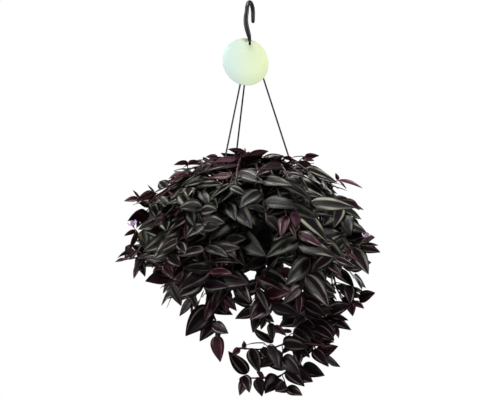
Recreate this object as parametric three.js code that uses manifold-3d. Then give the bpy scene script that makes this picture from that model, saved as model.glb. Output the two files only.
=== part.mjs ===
// A hanging pot of dark trailing tradescantia, in millimetres, +Z up.
// The origin is the seat inside the top of the hook, where a rail or a ceiling hook carries the pot.
// -Y is the side that the viewer sees, +X is to the viewer's right.

import * as THREE from 'three';
import { mergeVertices } from 'three/addons/utils/BufferGeometryUtils.js';
import Module from 'manifold-3d';

const wasm = await Module();
wasm.setup();

// Driving sizes of the made pieces.
const POT = {
  rimTop: -214, height: 92, baseRadius: 42, neckRadius: 55.5, rimRadius: 62.5, rimDepth: 6, lip: 2.4,
  wall: 1.6, floor: 2.2, sides: 32, drains: 4, drainRadius: 4, drainCircle: 24,
};
const SOIL = { top: -222, gap: 0.4, sides: 20, holeDepth: 13.3, holeRadius: 3.8, holeSides: 4 };
const HOOK = {
  loopRadius: 11.6, bearing: 72, tipRadius: 2.4, loopRodRadius: 2.6, shankRadius: 3, neckRadius: 1.6,
  sides: 8,
};
const HUB = { top: -53, thickness: 3.6, radius: 8.4, holeRadius: 2.2, holeCircle: 5.4, sides: 16 };
const STRAND = {
  radius: 1, bearings: [-128, 112, -8], anchorCircle: 57.4, anchorHole: 2.2, topStop: 1.9, rimStop: 2.4,
  sides: 6, gap: 0.3,
};
const TAG = {
  radius: 28.5, thickness: 0.8, holeRadius: 2.9, holeInset: 4.5, lean: 15, turn: 16, pitch: -10,
  sides: 32, hole: [-0.3, -8.8, -46.2],
};
const FLOWER = { petals: 3, length: 7.5, width: 5.2, opening: 52, budRadius: 1.5, gap: 0.3 };

// Driving sizes of the plant.
const STEM = {
  baseRadius: 1.9, tipRadius: 1.25, sides: 3, buried: 13, bareFoot: 9, collar: 3, crestRings: [28, 14, 0],
  spanSteps: 12, straight: 1.0,
};
const LEAF = {
  thickness: 1.2, sunk: 0.5, steps: 8, largeRows: [1, 3, 6], smallRows: [1, 3], largeFrom: 48,
  widthScale: 2.701, basePower: 0.5, tipPower: 1.1,
};
const GROWTH = {
  clearance: 0.5, tries: 36, shrinkEvery: 12, seat: 0.6, firstGap: 0.16, gapStep: 0.09, fullGap: 0.42,
  youngSizes: [0.5, 0.66, 0.84], boldSizes: [0.8, 0.95, 1], spreads: [0.2, 0.8, 1.0], spread: 1.25,
  droop: 0.4, sway: 0.35, front: 0.35, ceiling: -168, dome: 300,
};

const DOWN = new THREE.Vector3(0, 0, -1);
const UP = new THREE.Vector3(0, 0, 1);

// A repeatable draw of numbers from 0 to 1.
function drawFrom(seed) {
  let state = Math.imul(seed, 2654435761) >>> 0;
  const next = () => {
    state = (Math.imul(state, 1664525) + 1013904223) >>> 0;
    return state / 4294967296;
  };
  next();
  next();
  return (low, high) => low + (high - low) * next();
}

const radians = (degrees) => (degrees * Math.PI) / 180;

const around = (radius, degrees, z) =>
  new THREE.Vector3(radius * Math.cos(radians(degrees)), radius * Math.sin(radians(degrees)), z);

// Closed meshes and solids.
function geometryOf(points, triangles) {
  const geometry = new THREE.BufferGeometry();
  const numbers = points.flatMap((p) => [p.x, p.y, p.z]);
  geometry.setAttribute('position', new THREE.Float32BufferAttribute(numbers, 3));
  geometry.setIndex(triangles.flat());
  return geometry;
}

function solidOf(geometry) {
  const bare = new THREE.BufferGeometry();
  bare.setAttribute('position', geometry.getAttribute('position').clone());
  if (geometry.index) bare.setIndex(geometry.index.clone());
  const merged = mergeVertices(bare, 1e-4);
  return new wasm.Manifold(new wasm.Mesh({
    numProp: 3,
    vertProperties: new Float32Array(merged.attributes.position.array),
    triVerts: new Uint32Array(merged.index.array),
  }));
}

function geometryFrom(solid) {
  const mesh = solid.getMesh();
  const geometry = new THREE.BufferGeometry();
  geometry.setAttribute('position', new THREE.BufferAttribute(new Float32Array(mesh.vertProperties), 3));
  geometry.setIndex(new THREE.BufferAttribute(new Uint32Array(mesh.triVerts), 1));
  return geometry;
}

// A solid of revolution about the Z axis from [radius, z] pairs.
function turned(profile, sides) {
  const geometry = new THREE.LatheGeometry(profile.map(([r, z]) => new THREE.Vector2(r, z)), sides);
  return geometry.rotateX(Math.PI / 2);
}

// A round bar of a few sides from one point to another.
function bar(from, to, radius, sides) {
  return tube([from, to], [radius, radius], sides);
}

// A closed tube along points, with a radius at each point.
function tube(points, radii, sides) {
  const rings = [];
  const triangles = [];
  const last = points.length - 1;
  let across = new THREE.Vector3(1, 0.3, 0.1);
  points.forEach((point, i) => {
    const along = points[Math.min(i + 1, last)].clone().sub(points[Math.max(i - 1, 0)]).normalize();
    across = across.clone().addScaledVector(along, -across.dot(along)).normalize();
    const third = along.clone().cross(across);
    for (let k = 0; k < sides; k++) {
      const turn = (2 * Math.PI * k) / sides;
      rings.push(point.clone()
        .addScaledVector(across, radii[i] * Math.cos(turn))
        .addScaledVector(third, radii[i] * Math.sin(turn)));
    }
  });
  for (let i = 0; i < last; i++) {
    for (let k = 0; k < sides; k++) {
      const a = i * sides + k;
      const b = i * sides + ((k + 1) % sides);
      triangles.push([a, b, b + sides], [a, b + sides, a + sides]);
    }
  }
  for (let k = 1; k < sides - 1; k++) {
    triangles.push([0, k + 1, k]);
    const end = last * sides;
    triangles.push([end, end + k, end + k + 1]);
  }
  return { points: rings, triangles };
}

// Bodies that the growth keeps clear of one another.
function obstacle({ points, triangles }, stem) {
  const box = new THREE.Box3().setFromPoints(points);
  const edges = [];
  for (const [a, b, c] of triangles) edges.push([a, b], [b, c], [c, a]);
  return { points, triangles, edges, box, stem };
}

function segmentMeets(p, q, a, b, c) {
  const dx = q.x - p.x, dy = q.y - p.y, dz = q.z - p.z;
  const e1x = b.x - a.x, e1y = b.y - a.y, e1z = b.z - a.z;
  const e2x = c.x - a.x, e2y = c.y - a.y, e2z = c.z - a.z;
  const hx = dy * e2z - dz * e2y, hy = dz * e2x - dx * e2z, hz = dx * e2y - dy * e2x;
  const det = e1x * hx + e1y * hy + e1z * hz;
  if (Math.abs(det) < 1e-9) return false;
  const sx = p.x - a.x, sy = p.y - a.y, sz = p.z - a.z;
  const u = (sx * hx + sy * hy + sz * hz) / det;
  if (u < 0 || u > 1) return false;
  const qx = sy * e1z - sz * e1y, qy = sz * e1x - sx * e1z, qz = sx * e1y - sy * e1x;
  const v = (dx * qx + dy * qy + dz * qz) / det;
  if (v < 0 || u + v > 1) return false;
  const t = (e2x * qx + e2y * qy + e2z * qz) / det;
  return t >= 0 && t <= 1;
}

function pierces(one, other) {
  for (const [i, j] of one.edges) {
    const p = one.points[i], q = one.points[j];
    for (const [a, b, c] of other.triangles) {
      if (segmentMeets(p, q, other.points[a], other.points[b], other.points[c])) return true;
    }
  }
  return false;
}

const crosses = (one, other) =>
  one.box.intersectsBox(other.box) && (pierces(one, other) || pierces(other, one));

// A smooth curve through points, measured from its tip.
class Path {
  constructor(through) {
    const n = through.length;
    const before = through[0].clone().multiplyScalar(2).sub(through[1]);
    const after = through[n - 1].clone().multiplyScalar(2).sub(through[n - 2]);
    const all = [before, ...through, after];
    this.samples = [];
    for (let i = 1; i < n; i++) {
      const [a, b, c, d] = all.slice(i - 1, i + 3);
      for (let k = 0; k < STEM.spanSteps; k++) {
        const t = k / STEM.spanSteps;
        this.samples.push(new THREE.Vector3(
          ...['x', 'y', 'z'].map((axis) => 0.5 * (2 * b[axis] + (c[axis] - a[axis]) * t
            + (2 * a[axis] - 5 * b[axis] + 4 * c[axis] - d[axis]) * t * t
            + (3 * b[axis] - a[axis] - 3 * c[axis] + d[axis]) * t * t * t)),
        ));
      }
    }
    this.samples.push(through[n - 1].clone());
    this.samples.reverse();
    this.reach = [0];
    for (let i = 1; i < this.samples.length; i++) {
      this.reach.push(this.reach[i - 1] + this.samples[i].distanceTo(this.samples[i - 1]));
    }
    this.length = this.reach[this.reach.length - 1];
  }

  // The point a distance back from the tip.
  fromTip(distance) {
    const last = this.samples.length - 1;
    let i = 1;
    while (i < last && this.reach[i] < distance) i++;
    const share = (distance - this.reach[i - 1]) / (this.reach[i] - this.reach[i - 1]);
    return this.samples[i - 1].clone().lerp(this.samples[i], share);
  }
}

// Leaf blades. Positions and normals at even steps along the midrib, bending down as it sags.
function midrib({ root, forward, normal, length, sag }) {
  const frames = [];
  const point = root.clone();
  const way = forward.clone();
  const face = normal.clone();
  for (let i = 0; i <= LEAF.steps; i++) {
    frames.push({ point: point.clone(), way: way.clone(), face: face.clone() });
    point.addScaledVector(way, length / LEAF.steps);
    way.addScaledVector(DOWN, sag / LEAF.steps).normalize();
    face.addScaledVector(way, -face.dot(way)).normalize();
  }
  return frames;
}

const halfWidth = (t) => 0.5 * LEAF.widthScale * t ** LEAF.basePower * (1 - t) ** LEAF.tipPower;

// The closed mesh of a blade: one root inside the stem, margins, a keel under every row, a midrib above and
// a tip. Extra makes it larger all round.
function blade(leaf, extra = 0) {
  const frames = midrib(leaf);
  const rows = leaf.rows;
  const last = rows.length - 1;
  const start = frames[0];
  const sunk = leaf.sunk ?? LEAF.sunk;
  const points = [start.point.clone().addScaledVector(start.way, -sunk).addScaledVector(start.face, -0.3)];
  rows.forEach((row) => {
    const { point, way, face } = frames[row];
    const half = leaf.width * halfWidth(row / LEAF.steps) + extra;
    const across = face.clone().cross(way);
    for (const side of [1, -1]) {
      points.push(point.clone()
        .addScaledVector(across, side * half)
        .addScaledVector(face, half * Math.tan(leaf.fold)));
    }
    const thick = LEAF.thickness * (row === rows[0] ? 1.3 : 1 - (0.5 * row) / LEAF.steps);
    points.push(point.clone().addScaledVector(face, -thick - extra));
    if (row !== rows[0]) points.push(point.clone().addScaledVector(face, extra));
  });
  const end = frames[LEAF.steps];
  points.push(end.point.clone().addScaledVector(end.way, extra));
  const left = (i) => (i ? 4 * i : 1);
  const right = (i) => left(i) + 1;
  const keel = (i) => left(i) + 2;
  const top = (i) => left(i) + 3;
  const tip = points.length - 1;
  const triangles = [[0, right(0), left(0)], [0, left(0), keel(0)], [0, keel(0), right(0)]];
  triangles.push([left(0), right(0), top(1)], [left(0), top(1), left(1)], [right(0), right(1), top(1)]);
  for (let i = 0; i < last; i++) {
    triangles.push([left(i), left(i + 1), keel(i + 1)], [left(i), keel(i + 1), keel(i)]);
    triangles.push([right(i), keel(i + 1), right(i + 1)], [right(i), keel(i), keel(i + 1)]);
    if (i > 0) {
      triangles.push([left(i), top(i + 1), left(i + 1)], [left(i), top(i), top(i + 1)]);
      triangles.push([right(i), right(i + 1), top(i + 1)], [right(i), top(i + 1), top(i)]);
    }
  }
  triangles.push([left(last), tip, keel(last)], [right(last), keel(last), tip]);
  triangles.push([left(last), top(last), tip], [right(last), tip, top(last)]);
  return { points, triangles };
}

// The way to the light at a point: out from the pot, a little to the front, and more upwards the higher it is.
function lightAt(point, stem) {
  const out = new THREE.Vector3(point.x, point.y, 0);
  if (out.length() < 25) out.copy(around(25, stem.bearing, 0));
  const rise = THREE.MathUtils.clamp((point.z + 320) / 140, 0, 1);
  out.normalize().addScaledVector(UP, 0.2 + 1.1 * rise);
  out.y -= GROWTH.front;
  return out.normalize();
}

// One try at the leaf of a stem's node, counted back from its tip.
function leafTry(stem, node, draw, attempt) {
  const { point, way } = nodeOn(stem, node);
  const loose = attempt / GROWTH.tries;
  const light = lightAt(point, stem);
  const sway = GROWTH.sway * (1 + loose);
  light.x += draw(-sway, sway);
  light.y += draw(-sway, sway);
  light.z += draw(-sway, sway);
  light.addScaledVector(way, -light.dot(way)).normalize();
  const side = way.clone().cross(light).multiplyScalar(node % 2 ? 1 : -1);
  const middle = stem.bold ? GROWTH.spread : GROWTH.spreads[node] ?? GROWTH.spread;
  const spread = draw(middle - 0.3 - 0.2 * loose, middle + 0.3 + 0.4 * loose);
  const lift = draw(0.2 - 0.3 * loose, 0.5 + 0.3 * loose);
  const forward = way.clone().multiplyScalar(Math.cos(spread)).addScaledVector(side, Math.sin(spread));
  forward.multiplyScalar(Math.cos(lift)).addScaledVector(light, Math.sin(lift));
  forward.addScaledVector(DOWN, draw(0.2, 1) * GROWTH.droop * Math.hypot(way.x, way.y)).normalize();
  const aim = stem.aims.find(([number]) => number === node);
  if (aim) {
    const aimed = new THREE.Vector3(aim[1], aim[2], aim[3]).normalize();
    forward.multiplyScalar(0.2 + 0.6 * loose).add(aimed).normalize();
  }
  const flat = light.clone().addScaledVector(forward, -light.dot(forward)).normalize();
  const roll = draw(-0.25 - 0.4 * loose, 0.25 + 0.4 * loose);
  const tilted = forward.clone().cross(flat);
  const normal = flat.clone().multiplyScalar(Math.cos(roll)).addScaledVector(tilted, Math.sin(roll));
  const young = (stem.bold ? GROWTH.boldSizes : GROWTH.youngSizes)[node] ?? 1;
  const shrink = 1 - 0.16 * Math.floor(attempt / GROWTH.shrinkEvery);
  const full = aim ? aim[4] : stem.leafLength * young;
  const length = full * shrink * draw(0.9, 1.12);
  const width = length * stem.leafRatio * (0.82 + 0.18 * young) * draw(0.92, 1.08);
  const root = point.clone().addScaledVector(light, GROWTH.seat);
  return {
    root, forward, normal, length, width, node, sag: draw(0.05, 0.65), fold: draw(-0.05, 0.25),
    rows: length > LEAF.largeFrom ? LEAF.largeRows : LEAF.smallRows,
  };
}

// The stems. Each named one is led by hand to a place that the plant is known by: its bearing and radius in
// the soil, the points that it runs through above the rim, and its leaf length and width over length. Its
// aims are the leaves that point a known way: their number from the tip, that way in x, y and z, their length.
const LED = [
  // the long bunch that trails down on the right
  {
    name: 'trail_low_left', soil: [42, -48], leaf: 31, ratio: 0.66, leafyBelow: -262,
    via: [
      [52, -62, -196], [62, -84, -240], [58, -86, -310], [55, -80, -363], [46, -84, -386],
      [20, -86, -397], [-13, -88, -396],
    ],
    aims: [
      [0, -0.8, -0.35, -0.6, 13], [1, 0.1, -0.35, 1, 11], [2, 0.45, -0.35, -0.9, 28],
      [3, 0.8, -0.35, -0.6, 22], [4, -0.9, -0.8, 0.35, 27], [5, 1, -0.35, 0.05, 33],
      [6, -0.85, -0.35, 0.5, 30], [7, 0.85, -0.35, -0.2, 29], [8, -0.9, -0.35, -0.2, 30],
      [9, -0.9, -0.35, 0.3, 28], [10, 0.8, -0.35, -0.6, 28],
    ],
  },
  {
    name: 'trail_lowest', soil: [36, -36], leaf: 31, ratio: 0.66, leafyBelow: -262,
    via: [
      [56, -44, -198], [74, -62, -240], [66, -62, -310], [57, -66, -360], [51, -70, -400],
      [36, -74, -428], [-6, -76, -431],
    ],
    aims: [
      [0, -0.25, -0.35, -1, 23], [1, -1, -0.6, 0.3, 12], [2, 0.45, -0.35, -0.9, 21],
      [3, 0.5, -0.35, -0.87, 16], [4, -0.9, -0.75, -0.1, 34], [5, 0.95, -0.35, -0.2, 34],
      [6, -0.75, -0.7, -0.6, 22], [7, 0.4, -0.35, -0.92, 26], [8, 0.92, -0.35, 0.1, 29],
      [9, -0.6, -0.35, -0.8, 23], [10, 0.85, -0.8, -0.5, 30], [11, 0.9, -0.35, 0.2, 25],
    ],
  },
  {
    name: 'trail_low_right', soil: [46, -30], leaf: 32, ratio: 0.66, leafyBelow: -262,
    via: [
      [62, -36, -196], [80, -46, -240], [76, -52, -310], [72, -58, -362], [72, -60, -390],
      [76, -60, -406],
    ],
    aims: [
      [0, 0.82, -0.35, 0.57, 30], [1, -0.35, -0.7, -0.95, 21], [2, 0.9, -0.35, 0.25, 22],
      [3, -0.75, -0.35, -0.65, 26], [4, 0.85, -0.35, -0.5, 28], [5, -0.9, -0.35, -0.3, 25],
    ],
  },
  {
    name: 'trail_right', soil: [38, -22], leaf: 38, ratio: 0.62,
    via: [
      [62, -25, -198], [84, -34, -236], [88, -42, -300], [84, -46, -345], [86, -48, -368],
      [97, -50, -376],
    ],
    aims: [
      [0, 0.3, -0.35, -0.95, 14], [2, 0.95, -0.35, -0.3, 35], [3, 0.98, -0.35, 0.1, 26],
      [4, 0.5, -0.35, -0.85, 28],
    ],
  },
  {
    name: 'trail_side', soil: [46, -14], leaf: 40, ratio: 0.6,
    via: [
      [66, -17, -196], [86, -24, -240], [94, -32, -290], [98, -38, -326], [106, -40, -342],
      [120, -42, -349],
    ],
    aims: [
      [0, 0.9, -0.35, -0.3, 14], [2, 0.3, -0.7, -0.9, 33], [3, 0.9, -0.35, -0.4, 26],
      [4, 0.85, -0.35, -0.5, 30],
    ],
  },
  {
    name: 'trail_front', soil: [46, -72], leaf: 34, ratio: 0.54, leafyBelow: -235,
    via: [
      [24, -60, -196], [26, -82, -236], [20, -96, -290], [10, -100, -326], [11, -100, -356],
      [28, -97, -371],
    ],
    aims: [[2, -0.5, -0.35, -0.85, 16], [3, -0.1, -0.35, -1, 25]],
  },
  // the lower left
  {
    name: 'left_low', soil: [46, -118], leaf: 42, ratio: 0.62,
    via: [
      [-32, -58, -196], [-50, -76, -240], [-56, -84, -296], [-47, -84, -340], [-38, -84, -368],
      [-38, -84, -384],
    ],
    aims: [
      [0, 0.3, -0.35, -0.95, 30], [1, 0.9, -0.35, -0.4, 18], [2, -0.75, -0.35, -0.65, 32],
      [6, 0.93, -0.35, -0.36, 44],
    ],
  },
  {
    name: 'left_low_side', soil: [46, -140], leaf: 38, ratio: 0.58,
    via: [[-48, -44, -196], [-62, -54, -240], [-70, -62, -290], [-71, -62, -326], [-64, -62, -350]],
    aims: [[4, -0.9, -0.35, -0.45, 32]],
  },
  {
    name: 'left_reach', soil: [38, -160], leaf: 36, ratio: 0.46,
    via: [[-58, -22, -198], [-84, -28, -230], [-100, -26, -268], [-122, -24, -294], [-147, -24, -300]],
    aims: [
      [0, -1, -0.35, 0, 13], [1, 0.8, -0.35, 0.6, 17], [2, 0.6, -0.35, -0.8, 26],
      [3, -0.35, -0.7, -0.93, 28],
    ],
  },
  {
    name: 'left_flower', soil: [30, -146], leaf: 36, ratio: 0.44, flower: true, leafyBelow: -290,
    via: [
      [-52, -36, -190], [-70, -46, -232], [-84, -52, -280], [-103, -50, -294], [-118, -46, -282],
      [-133, -44, -263],
    ],
    aims: [[4, 0.85, -0.35, -0.5, 28]],
  },
  {
    name: 'left_upper', soil: [26, -172], leaf: 42, ratio: 0.46, bold: true,
    via: [[-50, -12, -194], [-80, -26, -209], [-103, -34, -226], [-122, -38, -236]],
    aims: [
      [0, -0.95, -0.35, 0.1, 19], [1, 0.6, -0.35, -0.8, 28], [2, 0.75, -0.35, -0.66, 29],
      [3, 0.9, -0.35, -0.4, 27],
    ],
  },
  {
    name: 'left_top', soil: [18, -150], leaf: 34, ratio: 0.44,
    via: [[-36, -20, -192], [-60, -28, -192], [-80, -33, -199]],
  },
  // the crown
  {
    name: 'crown_left', soil: [14, -120], leaf: 38, ratio: 0.44,
    via: [[-14, -16, -196], [-28, -22, -192], [-42, -28, -186]],
  },
  {
    name: 'crown_middle', soil: [8, 100], leaf: 36, ratio: 0.46,
    via: [[-2, 6, -204], [-4, 0, -188], [-6, -8, -170]],
  },
  {
    name: 'crown_right', soil: [18, -20], leaf: 40, ratio: 0.46, bold: true,
    via: [[28, -10, -196], [46, -16, -190], [60, -20, -185]],
  },
  {
    name: 'right_top', soil: [26, 14], leaf: 40, ratio: 0.44,
    via: [[44, 10, -194], [64, 6, -196], [84, 0, -206], [98, -4, -216]],
  },
  {
    name: 'right_upper', soil: [32, -18], leaf: 40, ratio: 0.5, bold: true,
    via: [[54, -20, -193], [78, -33, -206], [97, -44, -227], [108, -46, -244]],
  },
  {
    name: 'right_flower', soil: [22, -34], leaf: 44, ratio: 0.6, flower: true,
    via: [
      [46, -34, -186], [78, -50, -212], [96, -58, -256], [108, -60, -280], [121, -58, -288],
      [130, -56, -276],
    ],
    aims: [
      [1, 1, -0.35, -0.05, 27], [2, 0.35, -0.35, -0.95, 38], [3, -0.8, -0.35, -0.6, 28],
      [4, 0.98, -0.35, 0, 34],
    ],
  },
  // the front
  {
    name: 'front_star', soil: [34, -62], leaf: 32, ratio: 0.5, bold: true,
    via: [[32, -58, -189], [47, -86, -216], [54, -106, -252], [52, -120, -280]],
    aims: [
      [0, 0.98, -0.35, -0.18, 42], [1, -0.9, -0.35, -0.42, 43], [2, 0.88, -0.35, -0.48, 36],
      [3, -0.85, -0.35, -0.52, 50], [4, 0.78, -0.35, -0.62, 46], [5, -0.8, -0.35, -0.3, 38],
    ],
  },
  {
    name: 'front_high', soil: [30, -84], leaf: 44, ratio: 0.5, bold: true,
    via: [[6, -52, -190], [10, -84, -204], [14, -106, -232], [18, -118, -250]],
    aims: [[0, 0.7, -0.35, -0.72, 32], [1, -0.85, -0.35, 0.5, 24]],
  },
  {
    name: 'front_left', soil: [34, -136], leaf: 44, ratio: 0.5,
    via: [[-42, -46, -190], [-60, -74, -214], [-66, -92, -238], [-70, -102, -258]],
    aims: [[0, 0.05, -0.35, -1, 20], [1, -0.85, -0.35, -0.5, 28], [3, -0.97, -0.35, -0.1, 28]],
  },
  {
    name: 'front_brow', soil: [22, -104], leaf: 46, ratio: 0.48, bold: true,
    via: [[-10, -46, -186], [-14, -74, -194], [-16, -98, -214]],
    aims: [[0, -0.85, -0.35, -0.5, 32], [1, 0.8, -0.35, 0.5, 24]],
  },
  {
    name: 'front_middle', soil: [40, -92], leaf: 52, ratio: 0.5,
    via: [[-4, -58, -194], [-8, -86, -222], [-14, -100, -258], [-18, -104, -298], [-24, -102, -332]],
  },
  {
    name: 'front_right', soil: [40, -44], leaf: 52, ratio: 0.5,
    via: [[44, -46, -192], [62, -70, -212], [70, -92, -250], [66, -98, -296], [54, -96, -336]],
  },
  {
    name: 'front_low', soil: [42, -112], leaf: 48, ratio: 0.54,
    via: [[-24, -62, -196], [-36, -90, -232], [-44, -106, -274], [-42, -108, -310], [-28, -106, -338]],
    aims: [[4, 0.95, -0.35, 0.1, 34]],
  },
];

// The rest of the bush, by habit: how many stems, the first bearing, where they leave the soil, crest the rim
// and end, each as radius and height, and the leaves.
const HABITS = [
  {
    name: 'skirt', count: 7, first: 14, span: 360, soil: 46, leaf: 48, ratio: 0.52,
    via: [[69, -196], [84, -238], [86, -286]], tip: [84, -330],
  },
  {
    name: 'fall', count: 8, first: 32, span: 360, soil: 34, leaf: 50, ratio: 0.5,
    via: [[60, -194], [84, -220], [98, -260]], tip: [100, -302],
  },
  {
    name: 'arch', count: 7, first: 24, span: 360, soil: 22, leaf: 48, ratio: 0.48,
    via: [[46, -193], [78, -206], [103, -233]], tip: [118, -268],
  },
  {
    name: 'crown', count: 6, first: 40, span: 360, soil: 13, leaf: 46, ratio: 0.48,
    via: [[22, -203], [36, -195]], tip: [54, -192],
  },
];

function ledStem(given, index) {
  const [radius, bearing] = given.soil;
  const collar = around(radius, bearing, SOIL.top + STEM.collar);
  const through = [collar, ...given.via.map((p) => new THREE.Vector3(...p))];
  return stemOf(given.name, through, bearing, given.leaf, given.ratio, index, given);
}

function habitStem(habit, number, attempt, index) {
  const draw = drawFrom(900 + 31 * index + 7 * attempt);
  const bearing = habit.first + (habit.span * (number + draw(-0.2, 0.2))) / habit.count;
  const drift = draw(-14, 14);
  const raise = draw(-10, 12);
  const stretch = draw(0.94, 1.08);
  const steps = [...habit.via, habit.tip];
  const through = [around(habit.soil + draw(-2, 2), bearing, SOIL.top + STEM.collar)];
  steps.forEach(([radius, z], i) => {
    const share = (i + 1) / steps.length;
    const reach = 1 + (stretch - 1) * share;
    const out = radius * reach + draw(-3, 3) * share;
    through.push(around(out, bearing + drift * share + draw(-3, 3) * share, z + raise * share));
  });
  return stemOf(habit.name + '_' + (number + 1), through, bearing, habit.leaf, habit.ratio, index);
}

// A stem along its points: the spots of its leaves from the tip back, and the stops where its tube bends.
function stemOf(name, through, bearing, leafLength, leafRatio, index, habit = {}) {
  const { flower = false, bold = false, leafyBelow = 0, aims = [] } = habit;
  const path = new Path(through);
  const spots = [];
  for (let gap = 0, at = flower ? 3 : 1.6; at < path.length - STEM.bareFoot; gap++) {
    spots.push(at);
    at += leafLength * Math.min(GROWTH.firstGap + GROWTH.gapStep * gap, GROWTH.fullGap);
  }
  const crest = STEM.crestRings.map((distance) => path.length - distance);
  const between = spots.slice(1).map((at, i) => (at + spots[i]) / 2).filter((at) => at < crest[0] - 6);
  const stops = [0];
  between.forEach((at, i) => {
    const here = path.fromTip(at);
    const [after, before] = [path.fromTip(stops[stops.length - 1]), path.fromTip(between[i + 1] ?? crest[0])];
    const straight = new THREE.Line3(after, before).closestPointToPoint(here, true, new THREE.Vector3());
    if (straight.distanceTo(here) > STEM.straight) stops.push(at);
  });
  stops.push(...crest);
  const line = stops.map((at) => path.fromTip(at));
  const foot = path.samples[path.samples.length - 1].clone().setZ(SOIL.top - STEM.buried);
  const stem = {
    name, path, bearing, leafLength, leafRatio, index, flower, bold, leafyBelow, aims, spots, stops, line, foot,
    leaves: [],
  };
  stem.body = obstacle(stemTube(stem, GROWTH.clearance), index);
  stem.bare = obstacle(stemTube(stem), index);
  return stem;
}

// The place of a leaf on its stem, and the way the stem grows there.
function nodeOn(stem, node) {
  const at = stem.spots[node];
  const i = stem.stops.findIndex((stop) => stop > at) - 1;
  const [after, before] = [stem.line[i], stem.line[i + 1]];
  const share = (at - stem.stops[i]) / (stem.stops[i + 1] - stem.stops[i]);
  return {
    point: after.clone().lerp(before, share),
    way: after.clone().sub(before).normalize(),
  };
}

// The stem's own tube, with a ring between every two leaves.
function stemTube(stem, extra = 0) {
  const points = [stem.foot, ...stem.line.slice().reverse()];
  const radii = [...stem.stops, stem.path.length].map((at) => {
    const share = Math.min(1, (1.6 * at) / stem.path.length);
    return STEM.tipRadius + (STEM.baseRadius - STEM.tipRadius) * share + extra;
  }).reverse();
  return tube(points, radii, STEM.sides);
}

// What leaves keep clear of: the pot with its rim, and the three strands.
function potKeepOut() {
  const base = POT.rimTop - POT.height;
  const profile = [
    [0, base - 2], [POT.baseRadius + 2.5, base - 2], [POT.neckRadius + 3, POT.rimTop - POT.rimDepth - 3],
    [POT.rimRadius + 2.5, POT.rimTop - POT.rimDepth - 2], [POT.rimRadius + 2.5, POT.rimTop + 2],
    [0, POT.rimTop + 2],
  ];
  const sides = 16;
  const ring = ([r, z]) => Array.from({ length: sides }, (_, k) => around(r, (360 * k) / sides, z));
  const points = profile.flatMap(ring);
  const triangles = [];
  for (let i = 0; i < profile.length - 1; i++) {
    for (let k = 0; k < sides; k++) {
      const a = i * sides + k;
      const b = i * sides + ((k + 1) % sides);
      triangles.push([a, b, b + sides], [a, b + sides, a + sides]);
    }
  }
  return obstacle({ points, triangles }, -1);
}

// A blade without the faces that run into its stem.
const freePart = ({ points, triangles }) =>
  obstacle({ points, triangles: triangles.filter((t) => !t.includes(0)) }, 0);

const insidePot = (p) => p.z < POT.rimTop + 2 && p.z > POT.rimTop - POT.height - 2
  && Math.hypot(p.x, p.y) < POT.rimRadius + 2.5;

function strandEnds(bearing) {
  const rimUnder = POT.rimTop - POT.lip;
  return [around(HUB.holeCircle, bearing, HUB.top), around(STRAND.anchorCircle, bearing, rimUnder)];
}

// A bloom on the tip of its stem: a short bud cup and petals that open round it.
function flowerParts(stem, extra = 0) {
  const { samples } = stem.path;
  const way = samples[0].clone().sub(samples[2]).normalize();
  const rise = way.clone().addScaledVector(UP, 0.9).normalize();
  const foot = samples[0].clone().addScaledVector(way, FLOWER.gap + 0.1);
  const cup = foot.clone().addScaledVector(rise, 3.2);
  const parts = [tube([foot, cup], [1.1 + extra, FLOWER.budRadius + extra], 4)];
  const across = new THREE.Vector3(1, 0.3, 0.1).projectOnPlane(rise).normalize();
  const third = rise.clone().cross(across);
  for (let i = 0; i < FLOWER.petals; i++) {
    const turn = (2 * Math.PI * i) / FLOWER.petals + 0.4;
    const out = across.clone().multiplyScalar(Math.cos(turn)).addScaledVector(third, Math.sin(turn));
    const open = radians(FLOWER.opening);
    parts.push(blade({
      root: cup.clone().addScaledVector(rise, -0.9),
      forward: rise.clone().multiplyScalar(Math.cos(open)).addScaledVector(out, Math.sin(open)),
      normal: rise.clone().multiplyScalar(Math.sin(open)).addScaledVector(out, -Math.cos(open)),
      length: FLOWER.length, width: FLOWER.width, sag: 0.2, fold: 0.15, rows: LEAF.smallRows, sunk: 0.3,
    }, extra));
  }
  return parts;
}

// Grows the whole bush: stems first, then leaves from the tips back, each turned until it touches nothing.
function grow() {
  const placed = [potKeepOut()];
  for (const bearing of STRAND.bearings) {
    const [from, to] = strandEnds(bearing);
    placed.push(obstacle(bar(from, to, STRAND.radius + 1, 4), -2));
  }
  const stems = LED.map(ledStem);
  stems.forEach((stem) => placed.push(stem.body));
  for (const habit of HABITS) {
    for (let number = 0; number < habit.count; number++) {
      const index = stems.length;
      for (let attempt = 0; attempt < 24; attempt++) {
        const stem = habitStem(habit, number, attempt, index);
        if (placed.some((other) => other.stem !== -1 && crosses(stem.body, other))) continue;
        stems.push(stem);
        placed.push(stem.body);
        break;
      }
    }
  }
  for (const stem of stems.filter((s) => s.flower)) {
    flowerParts(stem, GROWTH.clearance).forEach((part) => placed.push(obstacle(part, -3)));
  }
  const longest = Math.max(...stems.map((stem) => stem.spots.length));
  for (let node = 0; node < longest; node++) {
    for (const stem of stems) {
      if (node >= stem.spots.length) continue;
      const { point } = nodeOn(stem, node);
      if (insidePot(point) || point.z > stem.leafyBelow) continue;
      const draw = drawFrom(17 + 131 * stem.index + node);
      for (let attempt = 0; attempt < GROWTH.tries; attempt++) {
        const leaf = leafTry(stem, node, draw, attempt);
        const body = obstacle(blade(leaf, GROWTH.clearance), stem.index);
        if (placed.some((other) => other !== stem.body && crosses(body, other))) continue;
        if (crosses(freePart(blade(leaf)), stem.bare)) continue;
        if (body.points.some((p) => p.z > GROWTH.ceiling - (p.x * p.x + p.y * p.y) / GROWTH.dome)) continue;
        stem.leaves.push(leaf);
        placed.push(body);
        break;
      }
    }
  }
  return stems;
}

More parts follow.
